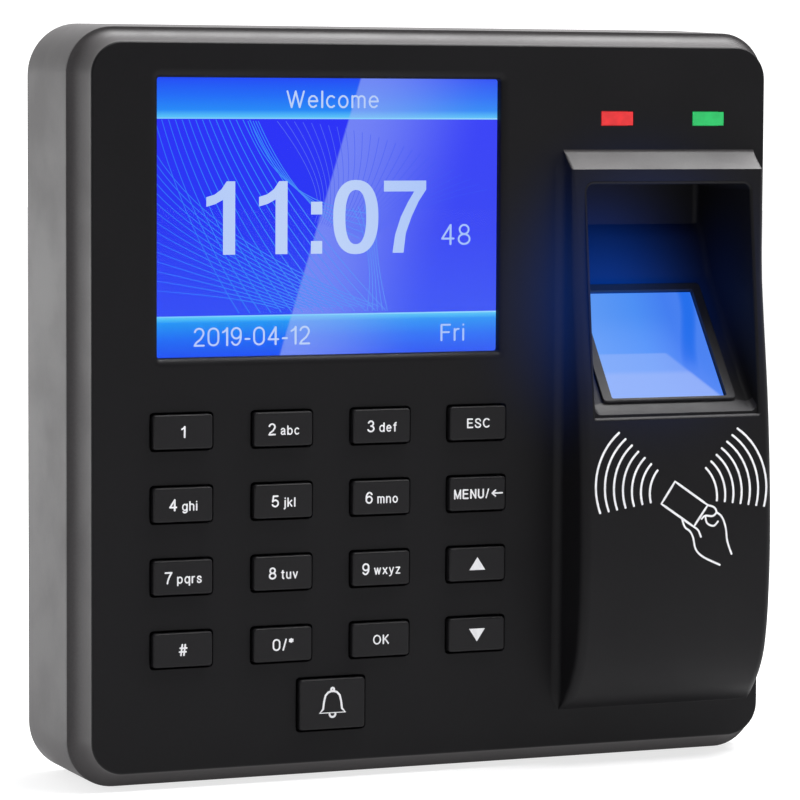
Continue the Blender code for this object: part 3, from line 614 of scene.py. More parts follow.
# Plain upright letters as pen strokes, with capitals one unit tall and small letters LOW tall.
LETTERS = {
    "0": [tall_ring(0.28, 0.28, 0, 1)],
    "1": [[(0.34, 0), (0.34, 1)], [(0.34, 0.98), (0.25, 0.86), (0.10, 0.76)]],
    "2": [[*bow(0.27, 0.73, 0.25, 0.27, 165, -25), (0.36, 0.38), (0.10, 0.16), (0.01, 0.0)], [(0.01, 0), (0.54, 0)]],
    "3": [bow(0.26, 0.76, 0.22, 0.24, 160, -90), bow(0.26, 0.26, 0.27, 0.26, 90, -160)],
    "4": [[(0.41, 0), (0.41, 1)], [(0.41, 1), (0.0, 0.29)], [(0, 0.29), (0.56, 0.29)]],
    "5": [[(0.49, 1), (0.12, 1)], [(0.12, 1), (0.05, 0.50)], bow(0.27, 0.31, 0.27, 0.31, 145, -155)],
    "6": [ring(0.28, 0.31, 0.26, 0.31), bow(0.31, 0.48, 0.29, 0.52, 190, 42)],
    "7": [[(0.0, 1), (0.54, 1)], [(0.54, 1), (0.36, 0.64), (0.23, 0.3), (0.18, 0.0)]],
    "8": [ring(0.28, 0.76, 0.22, 0.24), ring(0.28, 0.26, 0.27, 0.26)],
    "9": [ring(0.27, 0.69, 0.26, 0.31), bow(0.24, 0.52, 0.29, 0.52, 10, -138)],
    "a": [[*bow(0.22, 0.51, 0.19, 0.21, 160, 0), (0.41, 0.14), (0.45, 0)],
          [(0.41, 0.43), (0.22, 0.38), (0.07, 0.31), (0.03, 0.16), (0.11, 0.02), (0.26, 0.02), (0.41, 0.17)]],
    "b": [[(0, 1), (0, 0)], BOWL],
    "c": [bow(0.24, 0.36, 0.24, 0.36, 48, 312)],
    "d": [[(0.48, 1), (0.48, 0)], BOWL],
    "e": [[(0.01, 0.38), (0.47, 0.38)], bow(0.24, 0.36, 0.24, 0.36, 4, 315)],
    "f": [[(0.12, 0), (0.12, 0.80), *bow(0.25, 0.84, 0.13, 0.16, 180, 80)], [(0, LOW), (0.26, LOW)]],
    "g": [BOWL, [(0.48, LOW), (0.48, -0.06), *bow(0.25, -0.06, 0.23, 0.21, 0, -150)]],
    "h": [[(0, 1), (0, 0)], ARCH],
    "i": [[(0, LOW), (0, 0)], [(0, 0.98), (0, 1.0)]],
    "j": [[(0.08, LOW), (0.08, -0.12), *bow(-0.02, -0.14, 0.10, 0.13, 0, -90, 4)], [(0.08, 0.98), (0.08, 1.0)]],
    "k": [[(0, 1), (0, 0)], [(0.40, LOW), (0.02, 0.30)], [(0.15, 0.44), (0.43, 0)]],
    "l": [[(0, 1), (0, 0)]],
    "m": [[(0, LOW), (0, 0)], [*bow(0.17, 0.53, 0.17, 0.19, 180, 0), (0.34, 0)],
          [*bow(0.51, 0.53, 0.17, 0.19, 180, 0), (0.68, 0)]],
    "n": [[(0, LOW), (0, 0)], ARCH],
    "o": [BOWL],
    "p": [[(0, LOW), (0, -0.27)], BOWL],
    "q": [[(0.48, LOW), (0.48, -0.27)], BOWL],
    "r": [[(0, LOW), (0, 0)], bow(0.21, 0.45, 0.21, 0.27, 180, 82)],
    "s": [[(x * 0.42, z * LOW) for x, z in S_LINE]],
    "t": [[(0.12, 0.94), (0.12, 0.14), *bow(0.22, 0.12, 0.10, 0.12, 180, 280, 4)], [(0, LOW), (0.25, LOW)]],
    "u": [[(0, LOW), *bow(0.21, 0.23, 0.21, 0.23, 180, 360)], [(0.42, LOW), (0.42, 0)]],
    "v": [[(0, LOW), (0.22, 0)], [(0.22, 0), (0.44, LOW)]],
    "w": [[(0, LOW), (0.17, 0)], [(0.17, 0), (0.33, LOW)], [(0.33, LOW), (0.49, 0)], [(0.49, 0), (0.66, LOW)]],
    "x": [[(0, LOW), (0.42, 0)], [(0.42, LOW), (0, 0)]],
    "y": [[(0, LOW), (0.22, 0.02)], [(0.44, LOW), (0.2, -0.08), (0.12, -0.24), (0.0, -0.27)]],
    "z": [[(0, LOW), (0.40, LOW)], [(0.40, LOW), (0, 0)], [(0, 0), (0.42, 0)]],
    "C": [bow(0.37, 0.5, 0.37, 0.5, 46, 314, 14)],
    "E": [[(0, 0), (0, 1)], [(0, 1), (0.52, 1)], [(0, 0.53), (0.48, 0.53)], [(0, 0), (0.54, 0)]],
    "F": [[(0, 0), (0, 1)], [(0, 1), (0.50, 1)], [(0, 0.52), (0.44, 0.52)]],
    "K": [[(0, 0), (0, 1)], [(0.52, 1), (0.02, 0.40)], [(0.18, 0.58), (0.56, 0)]],
    "M": [[(0, 0), (0, 1)], [(0, 1), (0.32, 0.03)], [(0.32, 0.03), (0.64, 1)], [(0.64, 1), (0.64, 0)]],
    "N": [[(0, 0), (0, 1)], [(0, 1), (0.54, 0)], [(0.54, 0), (0.54, 1)]],
    "O": [ring(0.38, 0.5, 0.38, 0.5)],
    "S": [[(x * 0.6, z) for x, z in S_LINE]],
    "U": [[(0, 1), *bow(0.27, 0.30, 0.27, 0.30, 180, 360), (0.54, 1)]],
    "W": [[(0, 1), (0.23, 0)], [(0.23, 0), (0.45, 1)], [(0.45, 1), (0.67, 0)], [(0.67, 0), (0.9, 1)]],
    "/": [[(0, 0), (0.26, 1)]],
    "#": [[(0.12, 0), (0.24, 1)], [(0.38, 0), (0.50, 1)], [(0, 0.32), (0.56, 0.32)], [(0.06, 0.68), (0.62, 0.68)]],
    "*": [[(0.14, 1.02), (0.14, 0.72)], [(0.0, 0.95), (0.28, 0.79)], [(0.28, 0.95), (0.0, 0.79)]],
    "-": [[(0.02, 0.34), (0.26, 0.34)]],
}
LETTER_GAP = 0.11


def word_strokes(words, height, pen):
    """Strokes of a word whose capitals are height tall, from x = 0 on a baseline, and its width."""
    tall, left, strokes = height - pen, 0.0, []
    for letter in words:
        points = [point for stroke in LETTERS[letter] for point in stroke]
        first = min(x for x, _ in points)
        for stroke in LETTERS[letter]:
            strokes.append([(left + pen / 2 + (x - first) * tall, pen / 2 + z * tall) for x, z in stroke])
        left += (max(x for x, _ in points) - first) * tall + pen + LETTER_GAP * height
    return strokes, left - LETTER_GAP * height


def add_words(bm, words, x0, x1, z0, height, pen, y):
    """A word facing the front, fitted between two sides above a baseline."""
    strokes, width = word_strokes(words, height, pen)
    add_lines(bm, [[(x0 + x * (x1 - x0) / width, z0 + z) for x, z in stroke] for stroke in strokes],
              pen, lambda x, z: y, 0.1, 1)


def across_screen(x, z):
    return SCREEN_X + x, SCREEN_Z + z


def hanging(start, bend, end, steps=14):
    """A smooth line from start to end, drawn towards bend, in parts of the picture from its middle."""
    points = []
    for step in range(steps + 1):
        t = step / steps
        points.append(across_screen(*(((1 - t) ** 2 * a + 2 * t * (1 - t) * b + t * t * c) * size
                                      for a, b, c, size in zip(start, bend, end, (SCREEN_W, SCREEN_H)))))
    return points


curves, faint_curves = bmesh.new(), bmesh.new()
net, faint_net = [], []
for k in range(15):
    t = k / 14
    net.append(hanging((-0.5 + 0.27 * t, 0.35), (-0.42 + 0.32 * t, -0.02 + 0.03 * t), (-0.26 + 0.43 * t, -0.345)))
    net.append(hanging((-0.503, 0.24 - 0.50 * t), (-0.34 + 0.10 * t, -0.10 - 0.19 * t), (0.15 - 0.30 * t, -0.33)))
for k in range(5):
    t = k / 4
    net.append(hanging((-0.235 + 0.03 * t, 0.345), (-0.15 + 0.06 * t, 0.04 - 0.02 * t),
                       (0.13 - 0.04 * t, 0.01 - 0.09 * t)))
    net.append(hanging((0.14 - 0.07 * t, 0.05 - 0.02 * t), (0.13 + 0.01 * t, -0.12), (0.175 - 0.06 * t, -0.345)))
for k in range(26):
    t = k / 25
    faint_net.append(hanging((-0.04 + 0.16 * t, -0.02 - 0.06 * t), (0.0 + 0.25 * t, 0.10 - 0.05 * t),
                             (-0.15 + 0.62 * t, 0.345 - 0.25 * t * t)))
add_lines(faint_curves, faint_net, 0.09, lambda x, z: PICTURE_Y - 0.008, 0.1, 0)
finish_piece("display_faint_curves", faint_curves, screen_light(
    "display_faint_curves", (0.4, screen_colour(92, 112, 240)), (0.9, screen_colour(60, 84, 246))))
add_lines(curves, net, 0.13, lambda x, z: PICTURE_Y - 0.008, 0.1, 0)
finish_piece("display_curves", curves, screen_light(
    "display_curves", (0.0, screen_colour(52, 112, 248)), (0.3, screen_colour(56, 138, 248)),
    (0.65, screen_colour(96, 150, 248))))

bars = bmesh.new()
for side in (1, -1):
    bar = centred(SCREEN_X, SCREEN_Z + side * SCREEN_H * (0.5 - BAR), SCREEN_W + 1.2, 0.22, 0.05, 1)
    stack((PICTURE_Y - 0.02, bar), (PICTURE_Y, bar), bm=bars)
finish_piece("display_bar_edges", bars, screen_light(
    "display_bar_edges", (0.0, screen_colour(120, 200, 252)), (1.0, screen_colour(150, 216, 254))))

figures = bmesh.new()
for words, x0, x1, z0, height, pen in (
    ("Welcome", -7.2, 8.5, 16.95, 2.8, 0.34),
    ("48", 19.2, 24.4, -4.7, 3.4, 0.36),
    ("2019-04-12", -22.5, -3.0, -20.05, 3.0, 0.35),
    ("Fri", 19.2, 23.4, -20.0, 2.8, 0.34),
):
    add_words(figures, words, SCREEN_X + x0, SCREEN_X + x1, SCREEN_Z + z0, height, pen, PICTURE_Y - 0.035)
pale_figures = screen_light(
    "display_figures", (0.0, screen_colour(176, 200, 248)), (0.5, screen_colour(192, 212, 248)),
    (1.0, screen_colour(160, 190, 250)))
finish_piece("display_figures", figures, pale_figures)

CLOCK_ONE = [(0.345, 0), (0.53, 0), (0.53, 1.0), (0.40, 1.0), (0.32, 0.89), (0.215, 0.82), (0.09, 0.785),
             (0.09, 0.655), (0.225, 0.69), (0.345, 0.75)]
CLOCK_SEVEN = [(0.05, 1.0), (0.72, 1.0), (0.72, 0.875), (0.60, 0.71), (0.49, 0.5), (0.40, 0.27), (0.365, 0),
               (0.19, 0), (0.23, 0.25), (0.32, 0.5), (0.43, 0.70), (0.53, 0.85), (0.05, 0.85)]
CLOCK_X, CLOCK_Z, CLOCK_H, CLOCK_WIDEN, CLOCK_ADVANCE, COLON_ADVANCE = -21.35, -5.8, 11.4, 0.948, 0.776, 0.465


def clock_outline(points, left):
    return [across_screen(CLOCK_X + (left + x) * CLOCK_H * CLOCK_WIDEN, CLOCK_Z + z * CLOCK_H) for x, z in points]


def squared_oval(cx, cz, rx, rz, steps=40):
    """An oval with fuller shoulders than an ellipse."""
    turns = [math.tau * k / steps for k in range(steps)]
    return [(cx + rx * math.copysign(abs(math.cos(t)) ** 0.85, math.cos(t)),
             cz + rz * math.copysign(abs(math.sin(t)) ** 0.85, math.sin(t))) for t in turns]


def clock_solid(outline, left, bm=None, more=0.0):
    points = clock_outline(outline, left)
    return stack((PICTURE_Y - 0.035 - more, points), (PICTURE_Y - 0.015 + more, points), bm=bm)


colon_left = 2 * CLOCK_ADVANCE
zero_left = colon_left + COLON_ADVANCE
clock = clock_solid(squared_oval(0.385, 0.5, 0.355, 0.512), zero_left)
for outline, left in ((CLOCK_ONE, 0.0), (CLOCK_ONE, CLOCK_ADVANCE + 0.03), (CLOCK_SEVEN, zero_left + CLOCK_ADVANCE),
                      ([(0.15, 0), (0.325, 0), (0.325, 0.175), (0.15, 0.175)], colon_left),
                      ([(0.15, 0.54), (0.325, 0.54), (0.325, 0.715), (0.15, 0.715)], colon_left)):
    clock_solid(outline, left, clock)
finish_piece("display_clock", clock, pale_figures,
             steps=cut(clock_solid(squared_oval(0.385, 0.5, 0.165, 0.375), zero_left, more=0.05)))


def clear_acrylic():
    """Clear acrylic with a non-glare coat, hence the low index."""
    material, feed, place = new_finish("window_acrylic", Transmission_Weight=1.0, IOR=1.11,
                                       Base_Color=(1.0, 1.0, 1.0))
    feed(Roughness=0.01 + 0.02 * place.noise(160.0, 2.0).step(0.45, 0.8))
    return material


window_low, window_high = box_mm("display_window")
finish_piece("display_window_pane", stack(
    (window_low.y, centred(SCREEN_X, SCREEN_Z, WINDOW_W - 0.1, WINDOW_H - 0.1, 0.6)),
    (window_low.y + 0.05, centred(SCREEN_X, SCREEN_Z, WINDOW_W, WINDOW_H, 0.65)),
    (window_high.y, centred(SCREEN_X, SCREEN_Z, WINDOW_W, WINDOW_H, 0.65))),
    clear_acrylic(), replaces=["display_window"])


def plain_finish(name, low, high, scale, roughness, rough_range=0.12, bump_depth=0.0, **constants):
    """Mottled colour and sheen between two limits, for the simple materials of inner parts."""
    material, feed, place = new_finish(name, **constants)
    mottle = place.noise(scale, 3.0, 0.55)
    feed(Base_Color=mottle.step(0.3, 0.7).blend(low, high), Roughness=roughness + rough_range * mottle)
    if bump_depth:
        feed(Normal=bump(mottle, bump_depth, 0.4))
    return material


zinc_steel = plain_finish("zinc_steel", (0.29, 0.30, 0.30), (0.40, 0.405, 0.40), 210.0, 0.34, 0.12, 0.00001,
                          Metallic=1.0)
refinish(plain_finish("window_tape", (0.008, 0.008, 0.009), (0.014, 0.014, 0.015), 900.0, 0.8), "window_tape")
refinish(plain_finish("light_guide", (0.76, 0.76, 0.72), (0.84, 0.84, 0.8), 300.0, 0.35), "lcd_light_guide")
refinish(zinc_steel, "lcd_tray")
refinish(plain_finish("amber_film", (0.52, 0.25, 0.05), (0.62, 0.31, 0.08), 240.0, 0.3), "lcd_ribbon")

# Keys ---------------------------------------------------------------------------------------
# Seventeen caps in black ABS that stand a little out of the face, each with a flange that keeps
# it in and a stem to its contact. Their legends are pad printed in white.

KEY_EDGE = 0.3
KEY_CORNER = 0.5
STEM_W, STEM_H = 4.0, 3.0
key_plastic = black_plastic("key_plastic", (0.0062, 0.0058, 0.0068), 0.22, grain=3000.0)
print_white = plain_finish("print_white", (0.80, 0.80, 0.82), (0.9, 0.9, 0.92), 900.0, 0.5)

LEGENDS = {
    "key_1": "1", "key_2": "2 abc", "key_3": "3 def", "key_esc": "ESC",
    "key_4": "4 ghi", "key_5": "5 jkl", "key_6": "6 mno", "key_menu": "MENU/",
    "key_7": "7 pqrs", "key_8": "8 tuv", "key_9": "9 wxyz", "key_hash": "#",
    "key_0": "0/*", "key_ok": "OK",
}
FIGURE, SMALL, WORD = (1.95, 0.31), (1.55, 0.25), (1.6, 0.27)  # height and pen width
LEGEND_WIDEN = 1.14


def key_solid(x, z, width, height, front, flange_low, flange_high):
    sections = []
    for k in range(6):
        angle = math.radians(90 * k / 5)
        inset = KEY_EDGE * (1 - math.sin(angle))
        sections.append((front + KEY_EDGE * (1 - math.cos(angle)),
                         centred(x, z, width - 2 * inset, height - 2 * inset, KEY_CORNER - 0.5 * inset, 4)))
    sections.append((flange_high - 0.4, centred(x, z, width, height, KEY_CORNER, 4)))
    flange = centred(x, z, width + 2 * KEY_FLANGE, height + 2 * KEY_FLANGE, KEY_CORNER, 4)
    return stack(*sections), stack((flange_low, flange), (flange_high, flange))


def add_row(bm, parts, x, base_z, y):
    """Words of different sizes on one line, centred on x. A part is (words, (height, pen)) or a gap."""
    sized = [(part, part) if isinstance(part, float) else word_strokes(part[0], *part[1]) for part in parts]
    left = x - sum(width for _, width in sized) / 2
    for part, (strokes, width) in zip(parts, sized):
        if not isinstance(part, float):
            add_lines(bm, [[(x + (left + px - x) * LEGEND_WIDEN, base_z + pz) for px, pz in stroke]
                           for stroke in strokes], part[1][1], lambda px, pz: y, 0.12, 1)
        left += width


def add_legend(bm, key, x, z, y):
    flat = lambda px, pz: y
    if key in ("key_up", "key_down"):
        turn = 1 if key == "key_up" else -1
        made = bmesh.ops.create_circle(bm, cap_ends=True, segments=3, radius=1.0)["verts"]
        for vert in made:
            vert.co = (x + vert.co.x * 1.6, y - 0.01, z + turn * (vert.co.y * 1.38 - 0.25))
        face = made[0].link_faces[0]
        solid = bmesh.ops.extrude_face_region(bm, geom=[face])["geom"]
        bmesh.ops.translate(bm, verts=[v for v in solid if isinstance(v, bmesh.types.BMVert)], vec=(0, 0.02, 0))
        return
    if key == "key_bell":
        side = [(2.15, -1.4), (1.6, -0.8), (1.45, 0.4), (1.2, 1.35), (0.75, 1.85), (0.25, 2.02)]
        dome = [(-dx, dz) for dx, dz in reversed(side)]
        outline = [*side, *dome, side[0]]
        clapper = [(0.5 * math.cos(a), -1.6 + 0.5 * math.sin(a))
                   for a in (math.radians(180 + 20 * k) for k in range(10))]
        crown = [(0.25 * math.cos(a), 2.3 + 0.25 * math.sin(a)) for a in (math.tau * k / 12 for k in range(12))]
        lines = [outline, clapper, [*crown, crown[0]]]
        add_lines(bm, [[(x + dx, z + dz) for dx, dz in line] for line in lines], 0.34, flat)
        return
    words = LEGENDS[key]
    base = z - FIGURE[0] / 2
    if key == "key_menu":
        add_row(bm, [("MENU/", WORD), 1.9], x, z - WORD[0] / 2, y)
        tip = x + 2.5
        add_lines(bm, [[(tip, z), (tip + 1.8, z)], [(tip + 0.6, z + 0.5), (tip, z)], [(tip, z), (tip + 0.6, z - 0.5)]],
                  0.24, flat)
    elif " " in words:
        figure, letters = words.split()
        add_row(bm, [(figure, FIGURE), 0.62, (letters, SMALL)], x, base, y)
    elif words in ("ESC", "OK"):
        add_row(bm, [(words, WORD)], x, z - WORD[0] / 2, y)
    else:
        add_row(bm, [(words, FIGURE)], x, base, y)


for key in KEYS:
    x, z, width, height = node_rectangle(key, KEY_FLANGE)
    low, high = box_mm(key)
    flange_low = face_y + COVER_WALL + 0.3
    cap, flange = key_solid(x, z, width, height, low.y, flange_low, flange_low + 0.8)
    stem_outline = centred(x, z, STEM_W, STEM_H, 0.3, 2)
    stem = stack((flange_low + 0.4, stem_outline), (high.y, stem_outline))
    finish_piece(key + "_cap", cap, key_plastic, key + "_body", [key], joined(flange, stem))
    legend = bmesh.new()
    add_legend(legend, key, x, z, low.y - 0.012)
    finish_piece(key + "_legend", legend, print_white, body=key + "_body")
refinish(plain_finish("silicone_mat", (0.20, 0.20, 0.21), (0.26, 0.26, 0.27), 260.0, 0.7), "keypad_mat")
refinish(plain_finish("black_moulding", (0.014, 0.014, 0.016), (0.024, 0.024, 0.026), 500.0, 0.42), "keypad_link")


def board_finish(name, mask=(0.008, 0.10, 0.040), pitch=1.3):
    """Green solder mask over copper tracks that run square to each other, with bright pads."""
    material, feed, place = new_finish(name)
    x, z = place.part(0) / MM, place.part(2) / MM
    patches = place.noise(60.0, 1.0)
    lanes = [(line * (math.tau / pitch)).math("SINE", line * (math.tau / pitch)).step(0.55, 0.75) for line in (x, z)]
    track = patches.step(0.49, 0.51) * lanes[0] + (1 - patches.step(0.49, 0.51)) * lanes[1]
    pads = place.node("TexVoronoi", None, {"Vector": place, "Scale": 330.0}, "Distance")
    pad = (1 - pads.step(0.12, 0.16)) * place.noise(45.0, 0.0).step(0.52, 0.56)
    bare = track.blend(mask, tuple(channel * 1.7 for channel in mask))
    feed(Base_Color=pad.blend(bare, (0.62, 0.62, 0.6)), Metallic=pad * 0.9, Roughness=0.34 - 0.1 * pad,
         Normal=bump(track, 0.00002, 0.5))
    return material


board_green = board_finish("board_green")
refinish(board_green, "keypad_board", "lamp_board")

# Finger bay ---------------------------------------------------------------------------------
# The liner that the finger goes into, in the same black ABS, snapped in behind the reader's
# opening. Its rim rolls into the opening, and its bed slopes down to a lip at the front.

POD_CENTRE = (POD_X0 + POD_X1) / 2
SLOPE = math.radians(52.4)
BED_Y, BED_Z = box_mm("sensor_glass")[0].y, 0.0
SENSOR_W, SENSOR_L = 20.2, 20.6
RIM_R = 0.5
BAY_BACK_Y = -6.1


def bed(u, n=0.0):
    """(y, z) of a point on the sloping bed: u up the slope, n into the case."""
    return (BED_Y + u * math.cos(SLOPE) + n * math.sin(SLOPE), BED_Z + u * math.sin(SLOPE) - n * math.cos(SLOPE))


def opening_ring(inset, back):
    """The reader's opening, drawn in by an inset and lying back from the curved front of the housing."""
    outline = rounded(OPENING_X0 + inset, OPENING_X1 - inset, OPENING_Z0 + inset, OPENING_Z1 - inset,
                      1.7 - inset, 8, max(0.6 - inset, 0.06))
    return [(x, face_y - pod_depth(z) + back, z) for x, z in outline]


def bay_liner():
    bm = bmesh.new()
    back = [(x, BAY_BACK_Y, z) for x, _, z in opening_ring(0.02, 0.0)]
    add_loops(bm, [opening_ring(0.02, 0.01), back])
    return bm


def rim_roll():
    """Cutter that rolls the liner's rim into the opening."""
    bm = bmesh.new()
    rings = [opening_ring(0.0, -2.0)]
    for k in range(7):
        angle = math.radians(90 * k / 6)
        rings.append(opening_ring(0.02 + RIM_R * math.sin(angle) * 1.02, RIM_R * (1 - math.cos(angle))))
    add_loops(bm, rings)
    return bm


def finger_hollow():
    """Cutter for the room that the finger needs, with round edges."""
    profile = [(-44.0, 34.48), (-8.3, 34.48), (-8.3, 27.4), (-10.6, 25.3), (-13.2, bed(24.0)[1]), bed(23.0),
               bed(-1.0), (-31.05, -2.66), (-44.0, -12.6)]
    bm = prism(profile, OPENING_X0 + 0.52, OPENING_X1 - 0.52)
    bmesh.ops.recalc_face_normals(bm, faces=bm.faces)
    round_edges(bm, [edge for edge in bm.edges
                     if sum(vert.co.y for vert in edge.verts) / 2 > -40.0
                     and abs(edge.verts[0].co.x - edge.verts[1].co.x) < 1.0], 1.1, 5)
    return bm


def bed_block(x0, x1, u0, u1, n0, n1, edge=0.0, corner=0.0):
    """A block square to the bed, with its upright edges and its upper edges rounded."""
    bm = bmesh.new()
    bmesh.ops.create_cube(bm, size=1, matrix=Matrix.Translation(((x0 + x1) / 2, (u0 + u1) / 2, -(n0 + n1) / 2))
                          @ Matrix.Diagonal((x1 - x0, u1 - u0, n1 - n0, 1)))
    if corner:
        round_edges(bm, [e for e in bm.edges if abs(e.verts[0].co.z - e.verts[1].co.z) > 0.1], corner, 4)
    if edge:
        top = max(vert.co.z for vert in bm.verts)
        round_edges(bm, [e for e in bm.edges if all(vert.co.z > top - 0.001 for vert in e.verts)], edge, 3)
    bmesh.ops.transform(bm, verts=bm.verts, matrix=Matrix.Translation((0, BED_Y, BED_Z))
                        @ Matrix.Rotation(SLOPE, 4, "X"))
    return bm


# Both plastics of the bay carry painted blue light spill from the sensor as emission.
painted_glow_liner_plastic = black_plastic("painted_glow_liner_plastic", (0.0050, 0.0048, 0.0056), 0.16, ((0.0, 0.030, 0.24), 0.029))
# A paler, shinier copy of the liner's plastic, painted lighter where light from above falls.
painted_lit_lip_plastic = black_plastic("painted_lit_lip_plastic", (0.016, 0.0152, 0.0175), 0.36, painted_glow=((0.0, 0.012, 0.07), 0.024))
glass_x0, glass_x1 = POD_CENTRE - SENSOR_W / 2, POD_CENTRE + SENSOR_W / 2
sensor_well = bed_block(glass_x0 - 0.3, glass_x1 + 0.3, -0.3, SENSOR_L + 0.3, -3.0, 30.0)
liner = finish_piece("finger_bay_liner", bay_liner(), painted_glow_liner_plastic, replaces=["finger_bay"],
                     steps=cut(rim_roll(), finger_hollow(), sensor_well))

# Its lip, the low faces that look up, takes a paler, shinier copy of the liner's plastic: painted light, where the
# light from above falls on it.
liner.data.materials.append(painted_lit_lip_plastic)
for face in liner.data.polygons:
    face.material_index = int(face.center.z / MM < BED_Z + 1.0 and face.normal.z > 0.2)

# Fingerprint reader -------------------------------------------------------------------------
# A glass prism set into the bed inside a moulded frame. A bar of blue diodes behind it lights
# it from within, and a small lens looks at the finger through it.

FRAME_WIDTH = 1.9
sensor_frame = bed_block(glass_x0 - FRAME_WIDTH, glass_x1 + FRAME_WIDTH, -0.75, SENSOR_L + 1.6, -0.55, -0.02, 0.2, 0.7)
frame_window = bed_block(glass_x0 - 0.25, glass_x1 + 0.25, -0.2, SENSOR_L + 0.25, -2.0, 2.0, 0.0, 0.3)
# The frame takes the lip's paler copy too: painted light from above, with the sensor's painted blue spill.
finish_piece("sensor_frame", sensor_frame, painted_lit_lip_plastic, replaces=["sensor_bezel"], steps=cut(frame_window))


def lit_glass():
    """Glass lit blue from behind: paler low down, where the prism's faces show, and deeper at the right."""
    material, feed, place = new_finish("sensor_glass", Base_Color=(0.005, 0.01, 0.03), Roughness=0.3,
                                       Specular_IOR_Level=0.04)
    v = (place.part(0) / MM - glass_x0) / SENSOR_W
    slope = place.along((0.0, math.cos(SLOPE), math.sin(SLOPE))) / MM
    u = (slope - (BED_Y * math.cos(SLOPE) + BED_Z * math.sin(SLOPE))) / SENSOR_L
    ground = v.node("ValToRGB", {"stops": (
        (0.0, screen_colour(98, 158, 250)), (0.45, screen_colour(80, 147, 250)),
        (0.74, screen_colour(70, 130, 246)), (1.0, screen_colour(78, 134, 246)))}, {"Fac": v})
    centre = 0.95 - 0.16 * (1 - u).step(0.0, 0.75)
    stripe = 1 - ((v - centre) * (v - centre)).step(0.0, 0.0075)
    deeper = (0.85 * stripe * u.step(0.2, 0.42)).blend(ground, screen_colour(26, 110, 240))
    wedge = (1 - 0.88 * u - v).step(0.0, 0.05) * (0.43 - u).step(0.0, 0.02)
    paler = (0.5 * wedge).blend(deeper, screen_colour(146, 180, 250))
    palest = (0.55 * wedge * (0.27 - u).step(0.0, 0.06)).blend(paler, screen_colour(158, 184, 250))
    feed(Emission_Color=palest, Emission_Strength=0.94)
    return material


refinish(lit_glass(), "sensor_glass")
black_moulding = bpy.data.materials["black_moulding"]
refinish(black_moulding, "sensor_housing", "sensor_lens")
refinish(plain_finish("diffuser_white", (0.70, 0.70, 0.68), (0.8, 0.8, 0.77), 300.0, 0.4), "sensor_light_bar")
refinish(board_green, "sensor_board")

# Card reader --------------------------------------------------------------------------------
# A flat copper loop on its board behind the lower front of the housing. A printed mark on the
# front shows where to hold a card.


def wound_copper():
    material, feed, place = new_finish("copper_winding", Metallic=1.0, Roughness=0.3)
    x, z = place.part(0) / MM - POD_CENTRE, place.part(2) / MM + 24.5
    ring = x.math("MAXIMUM", x.math("ABSOLUTE", x) - 12.95, z.math("ABSOLUTE", z) - 14.5)
    turns = ring.math("SINE", ring * (math.tau / 0.32)) * 0.5 + 0.5
    feed(Base_Color=turns.blend((0.42, 0.16, 0.07), (0.80, 0.38, 0.20)), Normal=bump(turns, 0.00008))
    return material


refinish(wound_copper(), "card_coil")
refinish(board_green, "card_board")


def on_housing(x, z):
    return face_y - pod_depth(z) - 0.012


def arc(start, end, bulge, steps=14):
    """Points on a circular arc whose middle stands off its chord by bulge."""
    start, end = Vector(start), Vector(end)
    chord = end - start
    sagitta = abs(bulge)
    radius = (chord.length_squared / 4 + sagitta ** 2) / (2 * sagitta)
    normal = Vector((-chord.y, chord.x)).normalized() * math.copysign(1, bulge)
    centre = (start + end) / 2 - normal * (radius - sagitta)
    first = start - centre
    angle = first.angle_signed(end - centre)
    points = []
    for step in range(steps + 1):
        turn = -angle * step / steps
        points.append((centre.x + first.x * math.cos(turn) - first.y * math.sin(turn),
                       centre.y + first.x * math.sin(turn) + first.y * math.cos(turn)))
    return points


def dotted(points, spacing=0.8):
    """The same line with enough points to follow a curved surface."""
    made = [points[0]]
    for start, end in zip(points, points[1:]):
        steps = max(1, round(math.dist(start, end) / spacing))
        made += [tuple(a + (b - a) * k / steps for a, b in zip(start, end)) for k in range(1, steps + 1)]
    return made


def between(start, end, t):
    return tuple(a + (b - a) * t for a, b in zip(start, end))


waves = []
for k in range(7):
    t = k / 6
    waves.append(arc(between((28.1, -5.1), (34.8, -11.3), t), between((24.5, -17.8), (33.5, -16.4), t),
                     -2.2 + 1.55 * t))
    waves.append(arc(between((49.4, -5.0), (43.5, -11.2), t), between((54.0, -17.7), (45.4, -16.5), t),
                     2.2 - 1.55 * t))
card = [(37.9, -13.2), (43.75, -17.2), (41.2, -20.6), (35.4, -16.7), (37.9, -13.2)]
hand = [
    [(39.1, -19.3), (39.6, -20.6), (40.5, -21.3), (41.1, -22.4), (41.6, -24.3), (43.0, -25.6), (46.0, -27.0)],
    [(41.2, -20.6), (42.0, -21.2), (42.5, -22.3)],
    [(43.75, -17.2), (44.9, -17.6), (45.3, -18.4), (44.6, -19.0), (43.3, -18.9), (42.6, -19.4)],
    [(45.3, -18.4), (46.3, -19.2), (47.0, -21.0), (47.3, -23.2), (48.1, -25.3)],
    [(43.3, -18.9), (43.6, -20.1), (44.8, -20.6), (45.6, -19.9)],
]
mark = bmesh.new()
add_lines(mark, [dotted(points) for points in waves], 0.37, on_housing)
add_lines(mark, [dotted(card, 0.9)], 0.37, on_housing)
add_lines(mark, [dotted(smooth_through(points, 4), 0.5) for points in hand], 0.33, on_housing)
finish_piece("card_mark", mark, print_white)

# Main board ---------------------------------------------------------------------------------
# Green glass-fibre board on four posts, with the processor and memory in front, and the relay,
# buzzer, clock cell, terminal block and tamper switch behind.

